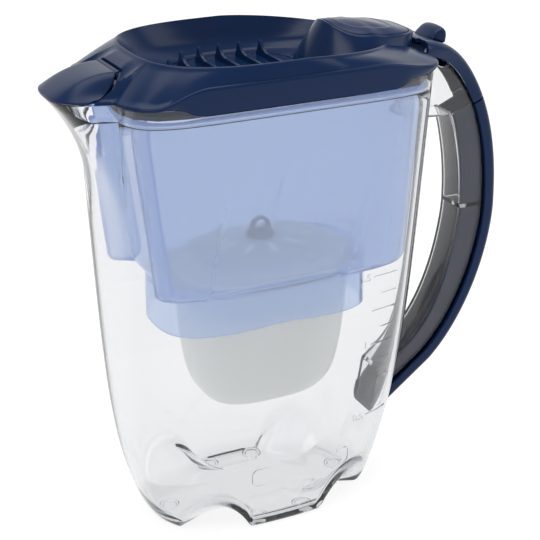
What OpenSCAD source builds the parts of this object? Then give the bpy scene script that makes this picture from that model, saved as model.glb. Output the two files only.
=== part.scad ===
// Water filter pitcher with a flip-open fill hatch, free standing on four lobes.
// Millimetres, +Z up, -X to the spout, +X to the handle, Y across.
// The whole part is centred on X by place(), with its feet on Z = 0.

/* [Jug] */
// Height of the jug's rim above the table
jug_h = 257; // [250:1:270]
// Thickness of the clear jug wall
wall = 2.6; // [2.2:0.1:3]
// Front of the rim ahead of the jug's axis, without the spout
rim_front = 89; // [86:1:92]
// Back of the rim behind the jug's axis
rim_rear = 92; // [90:1:95]
// Half the width of the rim
rim_half = 54.5; // [53:0.5:58]
// How far the jug's front draws in from rim to base
front_taper = 7; // [4:1:9]
// How far the jug's back draws in from rim to base
rear_taper = 9; // [6:1:11]
// How far each side draws in from rim to base
side_taper = 6.5; // [4:0.5:8]
// How far the spout's tip stands out from the front
spout_reach = 28; // [24:1:32]
// Half the width of the spout
spout_half = 28; // [25:1:30]
// Height where the spout starts to stand out
spout_start = 175; // [165:1:190]
// How far the rim dips under the lid's side panels
rim_dip = 4.5; // [3:0.5:5]
// Height of the four scallops between the base lobes
arch_h = 20; // [14:1:24]
// Depth of the seat inside the rim that carries the reservoir
seat_depth = 10; // [9:0.5:12]
// Wall thickness above that seat
lip_wall = 1.2; // [1:0.1:1.4]

/* [Handle] */
// Furthest reach of the handle behind the jug's axis
handle_reach = 155; // [150:1:162]
// Height of the middle of the handle's curve
handle_mid = 160.5; // [155:0.5:166]
// Rise of the handle's curve above the jug's rim
handle_over = 10.5; // [9:0.5:11.5]
// Drop of the handle's curve below its middle
handle_drop = 109; // [106:1:112]
// Width of the clear grip between its side walls
grip_w = 22; // [20:0.5:24]
// Depth of the clear grip behind the curve
grip_deep = 24.5; // [22:0.5:27]
// Wall thickness of the clear grip
grip_wall = 2.4; // [2:0.1:2.8]
// Depth of the dark cover's side lips
cover_deep = 8; // [7:0.5:10]
// Wall thickness of the dark cover and crown
cover_wall = 2.2; // [1.8:0.1:2.6]
// Thickness of the cross web in the grip
web_t = 2.4; // [2:0.1:3]

/* [Lid] */
// Height of the basin's rim above the jug's rim
basin_rise = 18.2; // [16:0.2:20]
// Height of the lid's outer edge above the jug's rim
edge_rise = 10; // [9:0.5:11]
// Wall thickness of the lid
lid_wall = 2.2; // [1.8:0.1:2.6]
// Half the width of the basin at its rim
basin_half = 52.6; // [50:0.2:53]
// Half the width of the opening in the basin's floor
mouth_half = 40; // [38:0.5:42]
// Front of the opening ahead of the jug's axis
mouth_front = 47; // [45:1:50]
// Back of the opening behind the jug's axis
mouth_rear = 34; // [33:0.5:36]
// Height of the hood's ridge above the jug's rim
hood_rise = 23; // [21:0.5:25]
// Gap between lid and spout flap
flap_gap = 1.5; // [1.2:0.1:2]
// Running gap around the hatch
hatch_gap = 1; // [0.8:0.1:1.5]
// Gap where one moulding rests in or on another
seat_gap = 0.3; // [0.2:0.05:0.5]

/* [Hatch] */
// Thickness of the hatch plate
plate_t = 2; // [1.6:0.1:2.6]
// Number of cross fins on the hatch
fin_count = 6; // [4:1:7]
// Distance between fins
fin_pitch = 12.4; // [11:0.1:13]
// Thickness of a fin
fin_t = 1.6; // [1.2:0.1:2]
// Height of a fin's blade
fin_h = 3; // [2:0.5:4]
// Height of the pointed horn at each end of a fin
horn_h = 9; // [7:0.5:10]

/* [Reservoir] */
// Depth of the reservoir's bottom below the jug's rim
res_drop = 109; // [100:1:115]
// Wall thickness of the reservoir
res_wall = 1.8; // [1.5:0.1:2.2]
// Side gap between reservoir and jug
res_gap = 2; // [1.5:0.1:2.5]
// Depth of the pouring channel in the reservoir's front
channel_deep = 12; // [9:0.5:14]
// Half the width of the pouring channel
channel_half = 30; // [27:0.5:32]
// How far the reservoir's side panels draw in at its bottom
side_inset = 6.5; // [6:0.25:8]
// Depth of the collar below the reservoir's bottom
collar_deep = 28; // [24:1:32]
// Half the length of the collar
collar_long = 63; // [60:0.5:66]
// Width of the ledge in the collar that carries the filter bowl
ledge_w = 2.3; // [2:0.1:3]

/* [Filter] */
// Half the length of the filter bowl
bowl_long = 49; // [46:0.5:52]
// Wall thickness of the filter bowl
bowl_wall = 1.6; // [1.2:0.1:2]
// Depth of the bowl below its flange
bowl_deep = 82; // [76:1:88]
// Height of the cartridge's perforated dome
cap_rise = 14; // [10:1:18]

/* [Hinges] */
// Radius of the thumb lever's pin
lever_pin_r = 2; // [1.6:0.1:2.4]
// Radius of the hatch's pin
hatch_pin_r = 1.6; // [1.3:0.1:2]
// Radius of the spout flap's pin
flap_pin_r = 1.2; // [1:0.1:1.5]
// Running clearance around each pin
pin_play = 0.05; // [0.02:0.01:0.1]

/* [Hidden] */

NAVY = [0.11, 0.17, 0.3];
CLEAR = [0.86, 0.89, 0.93, 0.3];
BLUE = [0.6, 0.68, 0.85, 0.5];
STEEL = [0.72, 0.73, 0.75];
WHITE = [0.93, 0.94, 0.94];

// Points round a loft
loft_pts = 48;
// Crowding of those points towards the two narrow ends, degrees
crowd = 12;
// Power of the rim's and the base's squarish oval
rim_square = 6;
base_square = 2.5;
// Middle of the whole part along X in the jug's own frame
mid_x = (handle_reach - rim_front - spout_reach) / 2;

// Smooth step from 0 to 1 while v goes from lo to hi
function ease(lo, hi, v) = let (t = max(0, min(1, (v - lo) / (hi - lo)))) t * t * (3 - 2 * t);
function mix(a, b, t) = a + (b - a) * t;
function turn(i) = 360 * i / loft_pts - crowd * sin(720 * i / loft_pts);
function turns() = [for (i = [0:loft_pts - 1]) turn(i)];

// Radius of a squarish oval, with its own front, rear and half-width
function oval(phi, front, rear, half, power) =
  pow(pow(abs(cos(phi)) / (cos(phi) < 0 ? front : rear), power) + pow(abs(sin(phi)) / half, power), -1 / power);

// Closed solid through a stack of rings, first to last anticlockwise and upwards.
// With end points it is fanned shut at both ends, and without them the stack is a loop.
module loft(rings, first, last) {
  n = len(rings[0]);
  m = len(rings);
  looped = is_undef(first);
  walls = [
    for (j = [0:looped ? m - 1 : m - 2], i = [0:n - 1])
      let (a = j * n + i, b = j * n + (i + 1) % n, c = (j + 1) % m * n + (i + 1) % n, d = (j + 1) % m * n + i)
        each [[a, c, b], [a, d, c]]
  ];
  fans = looped ? [] : [
    for (i = [0:n - 1]) let (k = (i + 1) % n)
      each [[m * n, i, k], [m * n + 1, (m - 1) * n + k, (m - 1) * n + i]]
  ];
  polyhedron([for (r = rings) each r, if (!looped) first, if (!looped) last], concat(walls, fans));
}

// Closed solid between an outer and an inner grid of points, joined along their edges
module sheet(outer, inner) {
  m = len(outer);
  n = len(outer[0]);
  k = m * n;
  faces = [
    for (j = [0:m - 2], i = [0:n - 2]) let (a = j * n + i, b = a + 1, c = a + n + 1, d = a + n)
      each [[a, b, c], [a, c, d], [k + a, k + c, k + b], [k + a, k + d, k + c]]
  ];
  ends = [
    for (i = [0:n - 2]) let (a = i, b = i + 1, c = (m - 1) * n + i, d = c + 1)
      each [[a, k + a, k + b], [a, k + b, b], [c, d, k + d], [c, k + d, k + c]]
  ];
  sides = [
    for (j = [0:m - 2]) let (a = j * n, b = a + n, c = a + n - 1, d = b + n - 1)
      each [[a, b, k + b], [a, k + b, k + a], [c, k + c, k + d], [c, k + d, d]]
  ];
  polyhedron([for (r = outer) each r, for (r = inner) each r], concat(faces, ends, sides));
}

module place() {
  translate([-mid_x, 0, 0]) children();
}

// ---- Jug: a clear moulding with a spout, four base lobes and a channel-shaped grip ----

// Sharpness of the curve that draws the front, the rear and the sides in at the base
front_bend = 8;
rear_bend = 5;
side_bend = 6;
// Extra drawing in of the front, the rear and the sides at the base
front_flare = 16;
rear_flare = 19;
side_flare = 4;
// Middle and half-width of a scallop, as an angle from the X axis
arch_mid = 42;
arch_span = 20;
// Part of the base's radius where the scallops start
arch_root = 0.45;
// Height of the base's hollow middle, and of its rounded lower edge
foot_rise = 2;
base_round = 4;
foot_pad_r = 6;
foot_pad_h = 0.8;
seat_z = jug_h - seat_depth;
// Where the rim's side dips begin and end along X
dip_front = [-66, -54];
dip_rear = [60, 70];

function jug_up(z) = 1 - z / jug_h;
function jug_front(z) = rim_front - front_taper * jug_up(z) - front_flare * pow(max(0, jug_up(z)), front_bend);
function jug_rear(z) = rim_rear - rear_taper * jug_up(z) - rear_flare * pow(max(0, jug_up(z)), rear_bend);
function jug_half(z) = rim_half - side_taper * jug_up(z) - side_flare * pow(max(0, jug_up(z)), side_bend);
function jug_power(z) = mix(rim_square, base_square, jug_up(z));
function spout(y, z, inset) =
  abs(y) < spout_half - inset && z > spout_start
    ? spout_reach * pow((z - spout_start) / (jug_h - spout_start), 2.5)
      * sqrt(1 - pow(abs(y) / (spout_half - inset), 3))
    : 0;
// A point of the jug's outline at a height, moved in by inset; beak = 0 leaves the spout out
function jug_at(phi, z, inset, beak = 1) =
  let (
    h = min(z, jug_h),
    r = oval(phi, jug_front(h) - inset, jug_rear(h) - inset, jug_half(h) - inset, jug_power(h)),
    x = r * cos(phi),
    y = r * sin(phi)
  ) [x < 0 ? x - beak * spout(y, h, inset) : x, y, z];
function rim_z(x) =
  jug_h - rim_dip * (ease(dip_front[0], dip_front[1], x) - ease(dip_rear[0], dip_rear[1], x));
function arch(phi) =
  let (a = atan2(abs(sin(phi)), abs(cos(phi))), s = (a - arch_mid) / arch_span) arch_h * max(0, 1 - s * s);
// Height of the base's underside at a part f of its radius
function under_z(f, phi) =
  foot_pad_h + foot_rise * (1 - ease(0.45, 0.62, f))
  + arch(phi) * pow(max(0, (f - arch_root) / (1 - arch_root)), 1.3);
function base_ring(f, lift, inset) = [
  for (phi = turns()) let (z = under_z(f, phi) + lift, p = jug_at(phi, z, inset))
    [p.x * f, p.y * f, z]
];
// Ring at a part w of the way from the scalloped lower edge to the top
function wall_ring(w, top, lift, inset) = [
  for (phi = turns())
    let (
      z0 = under_z(1, phi) + lift,
      z1 = is_undef(top) ? rim_z(jug_at(phi, jug_h, 0).x) : top
    ) jug_at(phi, mix(z0, z1, w), inset)
];

wall_steps = 12;
cavity_steps = 9;
// Height to which the cutting shape rises above the rim
over = 6;

module jug_outside() {
  loft(
    [
      base_ring(0.3, 0, 0), base_ring(0.62, 0, 0), base_ring(0.93, 0, 0), base_ring(0.985, 1.2, 0),
      for (k = [0:wall_steps]) wall_ring(k / wall_steps, undef, base_round, 0)
    ],
    [0, 0, foot_pad_h + foot_rise], [0, 0, jug_h]
  );
}

module jug_inside() {
  loft(
    [
      base_ring(0.3, wall, wall), base_ring(0.62, wall, wall), base_ring(0.92, wall + 1, wall),
      for (k = [0:cavity_steps]) wall_ring(k / cavity_steps, seat_z, base_round + 2 * wall, wall),
      for (z = [seat_z, jug_h, jug_h + over]) [for (phi = turns()) jug_at(phi, z, lip_wall)]
    ],
    [0, 0, foot_pad_h + foot_rise + wall], [0, 0, jug_h + over]
  );
}

// Handle curve: t = 90 at the top, 0 furthest back and -90 at the bottom
curve_x = rim_rear - 5;
curve_power = [2.26, 1.72];
handle_rise = jug_h + handle_over - handle_mid;
function curve_at(t) =
  let (p = t >= 0 ? curve_power[0] : curve_power[1])
    [
      curve_x + (handle_reach - curve_x) * pow(cos(t), 2 / p),
      handle_mid + (t >= 0 ? handle_rise : -handle_drop) * pow(abs(sin(t)), 2 / p)
    ];
// Direction out of the curve, as an angle in the XZ plane
function curve_out(t) = let (d = curve_at(t + 0.5) - curve_at(t - 0.5)) atan2(d.y, d.x) - 90;
// Angle between two slices of the handle
slice_step = 9;

// Thin bar across the handle between two depths below its curve, and between two places along Y
slice_t = 0.1;
module bar(t, outer, inner, y0, y1) {
  p = curve_at(t);
  translate([p.x, 0, p.y]) rotate([0, -curve_out(t), 0])
    translate([-inner, y0, -slice_t / 2]) cube([inner - outer, y1 - y0, slice_t]);
}
// The same right across the handle, with bevelled outer edges
module slice(t, outer, inner, half, bevel = 0) {
  bar(t, outer, inner, bevel - half, half - bevel);
  bar(t, outer + bevel, inner, -half, half);
}

// Heights of the grip's roots on the jug's rear wall
upper_root = [222, 254];
lower_root = [40.5, 66];
// Block in the jug's rear wall that a piece of the handle grows out of
module root(low, high, y0, y1) {
  translate([jug_rear(low) - wall, y0, low]) cube([wall / 2, y1 - y0, high - low]);
}
// Space of the jug's rear wall, grown by a gap, which nothing of the handle enters
rear_heights = [20:8:84];
module rear_wall_space(gap) {
  rotate([90, 0, 0]) linear_extrude(4 * cover_half, center = true) polygon([
    for (z = rear_heights) [jug_rear(z) + gap, z], [rim_rear / 2, 84], [rim_rear / 2, 20]
  ]);
}

grip_half = grip_w / 2;
grip_ends = [72, -63];
channel_ends = [63, -63];
// How far the grip thins towards its lower end and above its middle, over which angles
low_thin = 3.5;
low_span = [10, 60];
high_thin = 0.9;
high_span = [18, 36];
// Above these angles its finger side runs nearly level, from this height to its upper root
level_span = [36, 72];
level_z = 217.8;
// How far the grip's outer edge sinks to pass below the thumb lever, over which angles
lever_sink = 9.5;
sink_span = [54, 64];
// Depth of the grip's outer edge and of its finger side below the curve
function grip_outer(t) = cover_wall + seat_gap + lever_sink * ease(sink_span[0], sink_span[1], t);
function grip_inner(t) =
  t > level_span[0]
    ? (curve_at(t).y - mix(level_z, upper_root[0], ease(level_span[0], level_span[1], t))) / sin(curve_out(t))
    : grip_deep - low_thin * ease(low_span[0], low_span[1], -t) - high_thin * ease(high_span[0], high_span[1], t);

// Ring of four points across the handle between two depths, and one against the rear wall
function handle_ring(t, outer, inner, half) =
  let (p = curve_at(t), a = curve_out(t), d = [cos(a), sin(a)], o = p - outer * d, i = p - inner * d)
    [[o.x, -half, o.y], [o.x, half, o.y], [i.x, half, i.y], [i.x, -half, i.y]];
function wall_quad(outer_z, inner_z, half, gap) =
  let (o = jug_rear(outer_z) + gap, i = jug_rear(inner_z) + gap)
    [[o, -half, outer_z], [o, half, outer_z], [i, half, inner_z], [i, -half, inner_z]];
function middle(ring) = (ring[0] + ring[2]) / 2;
module bar_loft(rings) {
  loft(rings, middle(rings[0]), middle(rings[len(rings) - 1]));
}

module grip_solid() {
  bar_loft([
    wall_quad(lower_root[0], lower_root[1], grip_half, -wall / 2),
    for (t = [grip_ends[1]:slice_step:grip_ends[0]]) handle_ring(t, grip_outer(t), grip_inner(t), grip_half),
    wall_quad(upper_root[1], upper_root[0], grip_half, -wall / 2)
  ]);
}

// Channel between the grip's side walls, open outwards, which stops short of the jug's rear wall
channel_half_w = grip_half - grip_wall;
wall_keep = 0.8;
module grip_channel() {
  bar_loft([
    wall_quad(lower_root[0] - 2 * cover_wall, lower_root[1] - 1.5 * grip_wall, channel_half_w, wall_keep),
    for (t = [channel_ends[1]:slice_step:channel_ends[0]])
      handle_ring(t, -1, grip_inner(t) - grip_wall, channel_half_w)
  ]);
}

// Two inner legs of the cover reach into the channel, on both sides of the web
leg_t = 1.8;
leg_y = channel_half_w - seat_gap;
leg_short = grip_wall + seat_gap;
function leg_deep(t) = grip_inner(t) - leg_short;

// Cross web that stiffens the grip, with a round hole
web_hole_r = 4.5;
module grip_web() {
  p = curve_at(0);
  wide = grip_half - grip_wall / 2;
  outer = cover_wall + seat_gap;
  difference() {
    translate([p.x - grip_deep + grip_wall / 2, -wide, p.y - web_t / 2])
      cube([grip_deep - grip_wall / 2 - outer, 2 * wide, web_t]);
    translate([p.x - (grip_deep - grip_wall + outer) / 2, 0, p.y])
      cylinder(r = web_hole_r, h = 2 * web_t, center = true, $fn = 24);
  }
}

// Low bars moulded on the near side: heights of the volume lines, their ends and the wall's bulge
line_heights = [58, 104, 125, 146];
line_ends = [50, 66];
short_heights = [81, 93, 114, 135];
short_start = 56;
line_t = 0.9;
line_rise = 0.4;
// Bare moulded plate low on the same side
plate_box = [[-22, 30], [37, 40]];
// Half-width of the jug at a place on its side
function side_y(x, z) = let (p = jug_power(z)) jug_half(z) * pow(1 - pow(abs(x) / jug_rear(z), p), 1 / p);

pad_front = 55;
pad_side = [15, 34];
pad_places = [
  [pad_front, 0], [-pad_front, 0],
  for (sx = [-1, 1], sy = [-1, 1]) [sx * pad_side.x, sy * pad_side.y]
];

module side_line(start, z) {
  hull() for (x = [start, line_ends[1]])
    translate([x, -side_y(x, z) - line_rise, z]) cube([line_t, line_rise + wall / 2, line_t]);
}
module jug() {
  color(CLEAR) place() {
    difference() {
      union() {
        jug_outside();
        grip_solid();
        for (p = pad_places) translate([p.x, p.y, 0]) cylinder(r = foot_pad_r, h = 2 * foot_pad_h, $fn = 32);
        for (z = line_heights) side_line(line_ends[0], z);
        for (z = short_heights) side_line(short_start, z);
        hull() for (x = [plate_box[0].x, plate_box[1].x], z = [plate_box[0].y, plate_box[1].y])
          translate([x, -side_y(x, z) - line_rise, z]) cube([line_t, line_rise + wall / 2, line_t]);
      }
      jug_inside();
      grip_channel();
    }
    grip_web();
  }
}

// ---- Handle cover and crown: dark U-shaped mouldings over the grip's open side ----

cover_ends = [36, -63];
cover_half = grip_half + seat_gap / 2 + cover_wall;
cover_bevel = 1.6;
// Slant of the cover's lower end, as a factor on heights along the jug's rear wall
cover_slant = 1.25;
// Height up the rear wall to which the inner legs reach
leg_root = 54;

module handle_cover() {
  end = cover_ends[1];
  low = lower_root[0] - 3.5;
  gap_half = cover_half - cover_wall;
  color(NAVY) place() difference() {
    union() {
      difference() {
        union() {
          for (t = [end:slice_step:cover_ends[0] - slice_step]) hull()
            for (a = [t, t + slice_step]) slice(a, 0, cover_deep, cover_half, cover_bevel);
          hull() {
            slice(end, 0, cover_deep, cover_half, cover_bevel);
            root(low, low + cover_slant * (cover_deep + 1), -cover_half, cover_half);
          }
        }
        for (t = [end:slice_step:cover_ends[0]]) hull()
          for (a = [t, t + slice_step]) slice(a, cover_wall, cover_deep + 1, gap_half);
        hull() {
          slice(end, cover_wall, cover_deep + 1, gap_half);
          root(low + cover_slant * cover_wall, low + cover_slant * (cover_deep + 3), -gap_half, gap_half);
        }
      }
      for (y = [-leg_y, leg_y - leg_t]) {
        for (t = [end:slice_step:cover_ends[0] - slice_step]) hull()
          for (a = [t, t + slice_step]) bar(a, cover_wall / 2, leg_deep(a), y, y + leg_t);
        difference() {
          hull() {
            bar(end, cover_wall / 2, leg_deep(end), y, y + leg_t);
            root(low + cover_slant * cover_wall / 2, leg_root, y, y + leg_t);
          }
          rear_wall_space(wall_keep + seat_gap);
        }
      }
    }
    rear_wall_space(seat_gap);
    translate([handle_reach - grip_deep, -channel_half_w, handle_mid - web_t / 2 - seat_gap])
      cube([grip_deep - cover_wall, 2 * channel_half_w, web_t + 2 * seat_gap]);
  }
}

// Crown's slices from the seam with the cover up to the lid, and how it widens towards the lid
crown_ts = [36, 45, 54, 60, 66, 72, 76, 80, 84.5];
crown_seam = 0.5;
crown_wide = 27;
crown_span = [30, 96];
function crown_half(t) = mix(cover_half, crown_wide, 1.06 * pow(ease(crown_span[0], crown_span[1], t), 1.6));
// Slot that the lid's lever assembly drops into, with the angle where it ends
slot_half = 15.2;
slot_end = 65;

module handle_crown() {
  color(NAVY) place() difference() {
    union() for (k = [0:len(crown_ts) - 2]) hull() {
      slice(crown_ts[k] + (k == 0 ? crown_seam : 0), 0, cover_deep, crown_half(crown_ts[k]), cover_bevel);
      slice(crown_ts[k + 1], 0, cover_deep, crown_half(crown_ts[k + 1]), cover_bevel);
    }
    for (k = [0:len(crown_ts) - 2]) hull() {
      slice(crown_ts[k] - 1, cover_wall, cover_deep + 1, crown_half(crown_ts[k]) - cover_wall);
      slice(min(89.5, crown_ts[k + 1] + 4), cover_wall, cover_deep + 1, crown_half(crown_ts[k + 1]) - cover_wall);
    }
    translate([curve_x, -slot_half, jug_h - 2 * seat_depth])
      cube([curve_at(slot_end)[0] - curve_x, 2 * slot_half, 6 * seat_depth]);
  }
}

// ---- Lid: an open basin with a hood over the hatch's hinge ----

// Front edge of the lid at the flap, ahead of the axis, and how it sweeps forward beside the flap
seam_x = 82;
seam_flat = 14;
seam_sweep = 14;
flap_half = 26;
edge_out = 2;
neck_rise = 8.2;
// How far the neck and the flap fall towards their sides, and over which distances across
neck_fall = 10;
neck_span = [12, 27];
front_fall = 6;
rear_fall = 5;
basin_front = 70;
basin_rear = 77;
rim_fall = 6.5;
floor_long = 50;
floor_half = 43;
floor_rise = 0.5;
mouth_power = 2.6;
// Rounding of the basin's rim
rim_round = 1;

function seam(y) = seam_x + seam_sweep * pow(max(0, abs(y) - seam_flat) / (flap_half - seam_flat), 1.5);
// Point of the lid's outline; lip is how far it stays behind the seam with the flap
function lid_at(phi, inset, lip) =
  let (p = jug_at(phi, jug_h, inset)) [max(p.x, lip - seam(p.y)), p.y];
function edge_z(p) =
  jug_h + edge_rise - front_fall * ease(50, 78, -p.x) - rear_fall * ease(50, 88, p.x)
  + (neck_rise - neck_fall * ease(neck_span[0], neck_span[1], abs(p.y))) * ease(60, 80, -p.x);
function polar(r, phi) = [r * cos(phi), r * sin(phi)];
function basin_at(phi, grow) =
  polar(oval(phi, basin_front + grow, basin_rear + grow, basin_half + grow, cos(phi) < 0 ? 3 : 2), phi);
function floor_at(phi, grow) = polar(oval(phi, floor_long + grow, floor_long + grow, floor_half + grow, 2.4), phi);
function mouth_at(phi, grow) =
  polar(oval(phi, mouth_front + grow, mouth_rear + grow, mouth_half + grow, mouth_power), phi);
function basin_z(x) = jug_h + basin_rise - rim_fall * pow(max(0, min(1, (x - 5) / 70)), 1.3);
floor_z = jug_h - 0.5;
function basin_wall(phi, w, drop, grow, sink) =
  let (a = basin_at(phi, grow), b = floor_at(phi, grow), p = mix(a, b, w))
    [p.x, p.y, mix(basin_z(a.x), floor_z + floor_rise, drop) - sink];
function up(p, z) = [p.x, p.y, z];
function lid_ring(k, phi) =
  let (
    edge = lid_at(phi, -edge_out, 0),
    foot = lid_at(phi, -seat_gap, 0),
    inner_edge = lid_at(phi, lid_wall - edge_out, lid_wall),
    inner_foot = lid_at(phi, lip_wall, lip_wall),
    rim = basin_at(phi, 0),
    low = rim_z(foot.x) + seat_gap
  )
    k == 0 ? up(foot, low)
    : k == 1 ? up(edge, max(low, edge_z(edge) - 2 * rim_round))
    : k == 2 ? up(lid_at(phi, -edge_out + rim_round / 2, rim_round / 2), edge_z(edge))
    : k == 3 ? up(basin_at(phi, rim_round), basin_z(rim.x) - rim_round)
    : k == 4 ? up(rim, basin_z(rim.x))
    : k == 5 ? basin_wall(phi, 0.2, 0.3, 0, 0)
    : k == 6 ? basin_wall(phi, 0.5, 0.72, 0, 0)
    : k == 7 ? basin_wall(phi, 1, 1, 0, 0)
    : k == 8 ? up(mouth_at(phi, 0), floor_z)
    : k == 9 ? up(mouth_at(phi, 0), floor_z - lid_wall + 0.5)
    : k == 10 ? basin_wall(phi, 1, 1, 0.7, lid_wall)
    : k == 11 ? basin_wall(phi, 0.5, 0.72, lid_wall, 0.5)
    : k == 12 ? basin_wall(phi, 0.2, 0.3, lid_wall, 0.5)
    : k == 13 ? up(basin_at(phi, -rim_round), basin_z(rim.x) - lid_wall - rim_round)
    : k == 14 ? up(inner_edge, max(low + seat_gap, edge_z(edge) - lid_wall - rim_round))
    : up(inner_foot, low);
lid_rings = 16;

// Hood: rings about its own centre
hood_x = rim_rear - 30;
hood_front = 33;
hood_half = 34;
hood_rear = 31.7;
crease_front = 20;
crease_half = 22;
crease_rear = 31.3;
cap_t = 1.8;
cap_seat = 1.5;
function hood_at(phi, k, inset) =
  let (
    a = oval(phi, hood_front - inset, hood_rear - inset, hood_half - inset, 2),
    b = oval(phi, crease_front - inset, crease_rear - inset, crease_half - inset, cos(phi) < 0 ? 2 : 4),
    p = polar(mix(a, b, k), phi)
  ) [p.x + hood_x, p.y];
function ridge_z(x) = jug_h + hood_rise - 4 * pow(max(0, min(1, (x - 50) / 36)), 1.2);
function crease_z(phi) =
  jug_h + hood_rise - 6.7 + (cos(phi) < 0 ? 6.7 * pow(-cos(phi), 3) : -1.8 * ease(0, 0.5, cos(phi)));
// Point of the roof at a part s of the way from the hood's centre to its crease
function roof_at(phi, s, sink) =
  let (c = hood_at(phi, 1, 0), x = hood_x + (c.x - hood_x) * s)
    [x, c.y * s, mix(ridge_z(x), crease_z(phi), s * s) - sink];
function hood_foot_z(x) = floor_z - lid_wall + 0.9 + 2.1 * ease(76, 84, x);
roof_top = [hood_x, 0, ridge_z(hood_x)];
// Parts of the way from centre to crease where the roof's rings lie; the cap ends at the first
roof_steps = [0.93, 0.8, 0.55, 0.28];

module hood_outside() {
  loft(
    [
      for (k = [0, 0.25, 0.55, 0.85, 1]) [
        for (phi = turns()) let (p = hood_at(phi, k, 0), z0 = hood_foot_z(p.x))
          up(p, mix(z0, crease_z(phi), k * (1.25 - 0.25 * k)))
      ],
      [for (phi = turns()) roof_at(phi, roof_steps[0], 0)],
      for (s = roof_steps) [for (phi = turns()) roof_at(phi, s * 0.995, cap_t + 0.2)]
    ],
    [hood_x, 0, floor_z - lid_wall + 0.9], roof_top - [0, 0, cap_t + 0.2]
  );
}
module hood_inside() {
  deep = cap_t + 0.2 + lid_wall;
  loft(
    [
      [for (phi = turns()) up(hood_at(phi, 0, lid_wall), seat_z)],
      for (k = [0, 0.25, 0.55, 0.85]) [
        for (phi = turns()) let (p = hood_at(phi, k, lid_wall), z0 = hood_foot_z(p.x))
          up(p, mix(z0, crease_z(phi) - deep, k * (1.25 - 0.25 * k)))
      ],
      for (s = roof_steps) [for (phi = turns()) roof_at(phi, s * 0.93, deep)]
    ],
    [hood_x, 0, seat_z], roof_top - [0, 0, deep]
  );
}

// Prism over the mouth's outline
module mouth_prism(low, high, grow) {
  translate([0, 0, low]) linear_extrude(high - low) polygon([for (phi = turns()) mouth_at(phi, grow)]);
}

// Hinge lines: X and Z of each axis
flap_axis = [0.6 - seam_x, jug_h + 10.6];
hatch_axis = [mouth_rear + 4, jug_h + 1];
lever_axis = [curve_x + 16, jug_h + 1.5];
knuckle_r = 1.9;
knuckle_half = 11.7;
ear_t = 1.9;
notch_half = seam_flat + 0.2;
// How far the foot of the flap's bracket lies below its knuckles, and its height
foot_drop = 1.2;
foot_h = 1;
// Opening in the lid's rear for the lever's arm and bracket
rear_gate = [rim_rear - 6, jug_h + 9.8];

module lid_shell() {
  color(NAVY) place() difference() {
    union() {
      loft([for (k = [0:lid_rings - 1]) [for (phi = turns()) lid_ring(k, phi)]]);
      hood_outside();
    }
    hood_inside();
    mouth_prism(seat_z, floor_z + 0.6, -hatch_gap / 2);
    translate([rear_gate[0], -slot_half, seat_z]) cube([4 * edge_out + 4, 2 * slot_half, rear_gate[1] - seat_z]);
    translate([flap_axis[0] - 8, -notch_half, flap_axis[1] - knuckle_r - foot_drop - seat_gap])
      cube([8 + knuckle_r + 0.2, 2 * notch_half, 8]);
  }
}

// Insert that closes the hood's roof, with a shallow dish
dish_deep = 0.5;
module hood_cap() {
  color(NAVY) place() loft(
    [
      for (s = [0.28, 0.55, 0.8]) [for (phi = turns()) roof_at(phi, s, cap_t)],
      [for (phi = turns()) roof_at(phi, roof_steps[0] * 0.985, cap_t)],
      [for (phi = turns()) roof_at(phi, roof_steps[0] * 0.985, 0.25)],
      [for (phi = turns()) roof_at(phi, roof_steps[0] * 0.97, 0)],
      for (s = [0.62, 0.58, 0.3]) [for (phi = turns()) roof_at(phi, s, s < 0.6 ? dish_deep : 0)]
    ],
    roof_top - [0, 0, cap_t], roof_top - [0, 0, dish_deep]
  );
}

// Dark tray under the lid: a skirt inside the jug's lip, a floor, and the hatch's two ears
tray_skirt_t = 1.6;
tray_low = seat_z + 4.5;
tray_top = floor_z - lid_wall + 0.5 - seat_gap;
tray_t = 1.6;
// How far the tray's floor stays back from the opening
tray_mouth = 2.4;
hatch_hub_half = 4;
hatch_ear_y = 8.2;
hatch_ear_r = 2.8;
arm_slot_half = 9;
module tray_outline(inset) {
  polygon([for (phi = turns()) let (p = jug_at(phi, seat_z, inset, 0)) [p.x, p.y]]);
}
module lid_tray() {
  out = lip_wall + seat_gap;
  color(NAVY) place() difference() {
    union() {
      difference() {
        translate([0, 0, tray_low]) linear_extrude(jug_h - tray_low) tray_outline(out);
        translate([0, 0, seat_z]) linear_extrude(seat_depth + 1) tray_outline(out + tray_skirt_t);
      }
      difference() {
        translate([0, 0, tray_top - tray_t]) linear_extrude(tray_t) tray_outline(out + tray_skirt_t / 2);
        mouth_prism(seat_z, jug_h, tray_mouth);
      }
      for (side = [-1, 1]) translate([hatch_axis[0], side * (hatch_ear_y + ear_t / 2), 0]) {
        translate([0, 0, hatch_axis[1]]) rotate([90, 0, 0]) cylinder(r = hatch_ear_r, h = ear_t, center = true, $fn = 48);
        translate([-hatch_ear_r / 2, -ear_t / 2, tray_top - tray_t])
          cube([1.5 * hatch_ear_r, ear_t, hatch_axis[1] - tray_top + tray_t]);
      }
    }
    translate([hatch_axis[0], 0, hatch_axis[1]]) rotate([90, 0, 0])
      cylinder(r = hatch_pin_r + pin_play, h = 4 * hatch_ear_y, center = true, $fn = 64);
    translate([mouth_rear - 4, -arm_slot_half, seat_z]) cube([rim_rear - mouth_rear + 5, 2 * arm_slot_half, 8]);
  }
}

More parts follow.
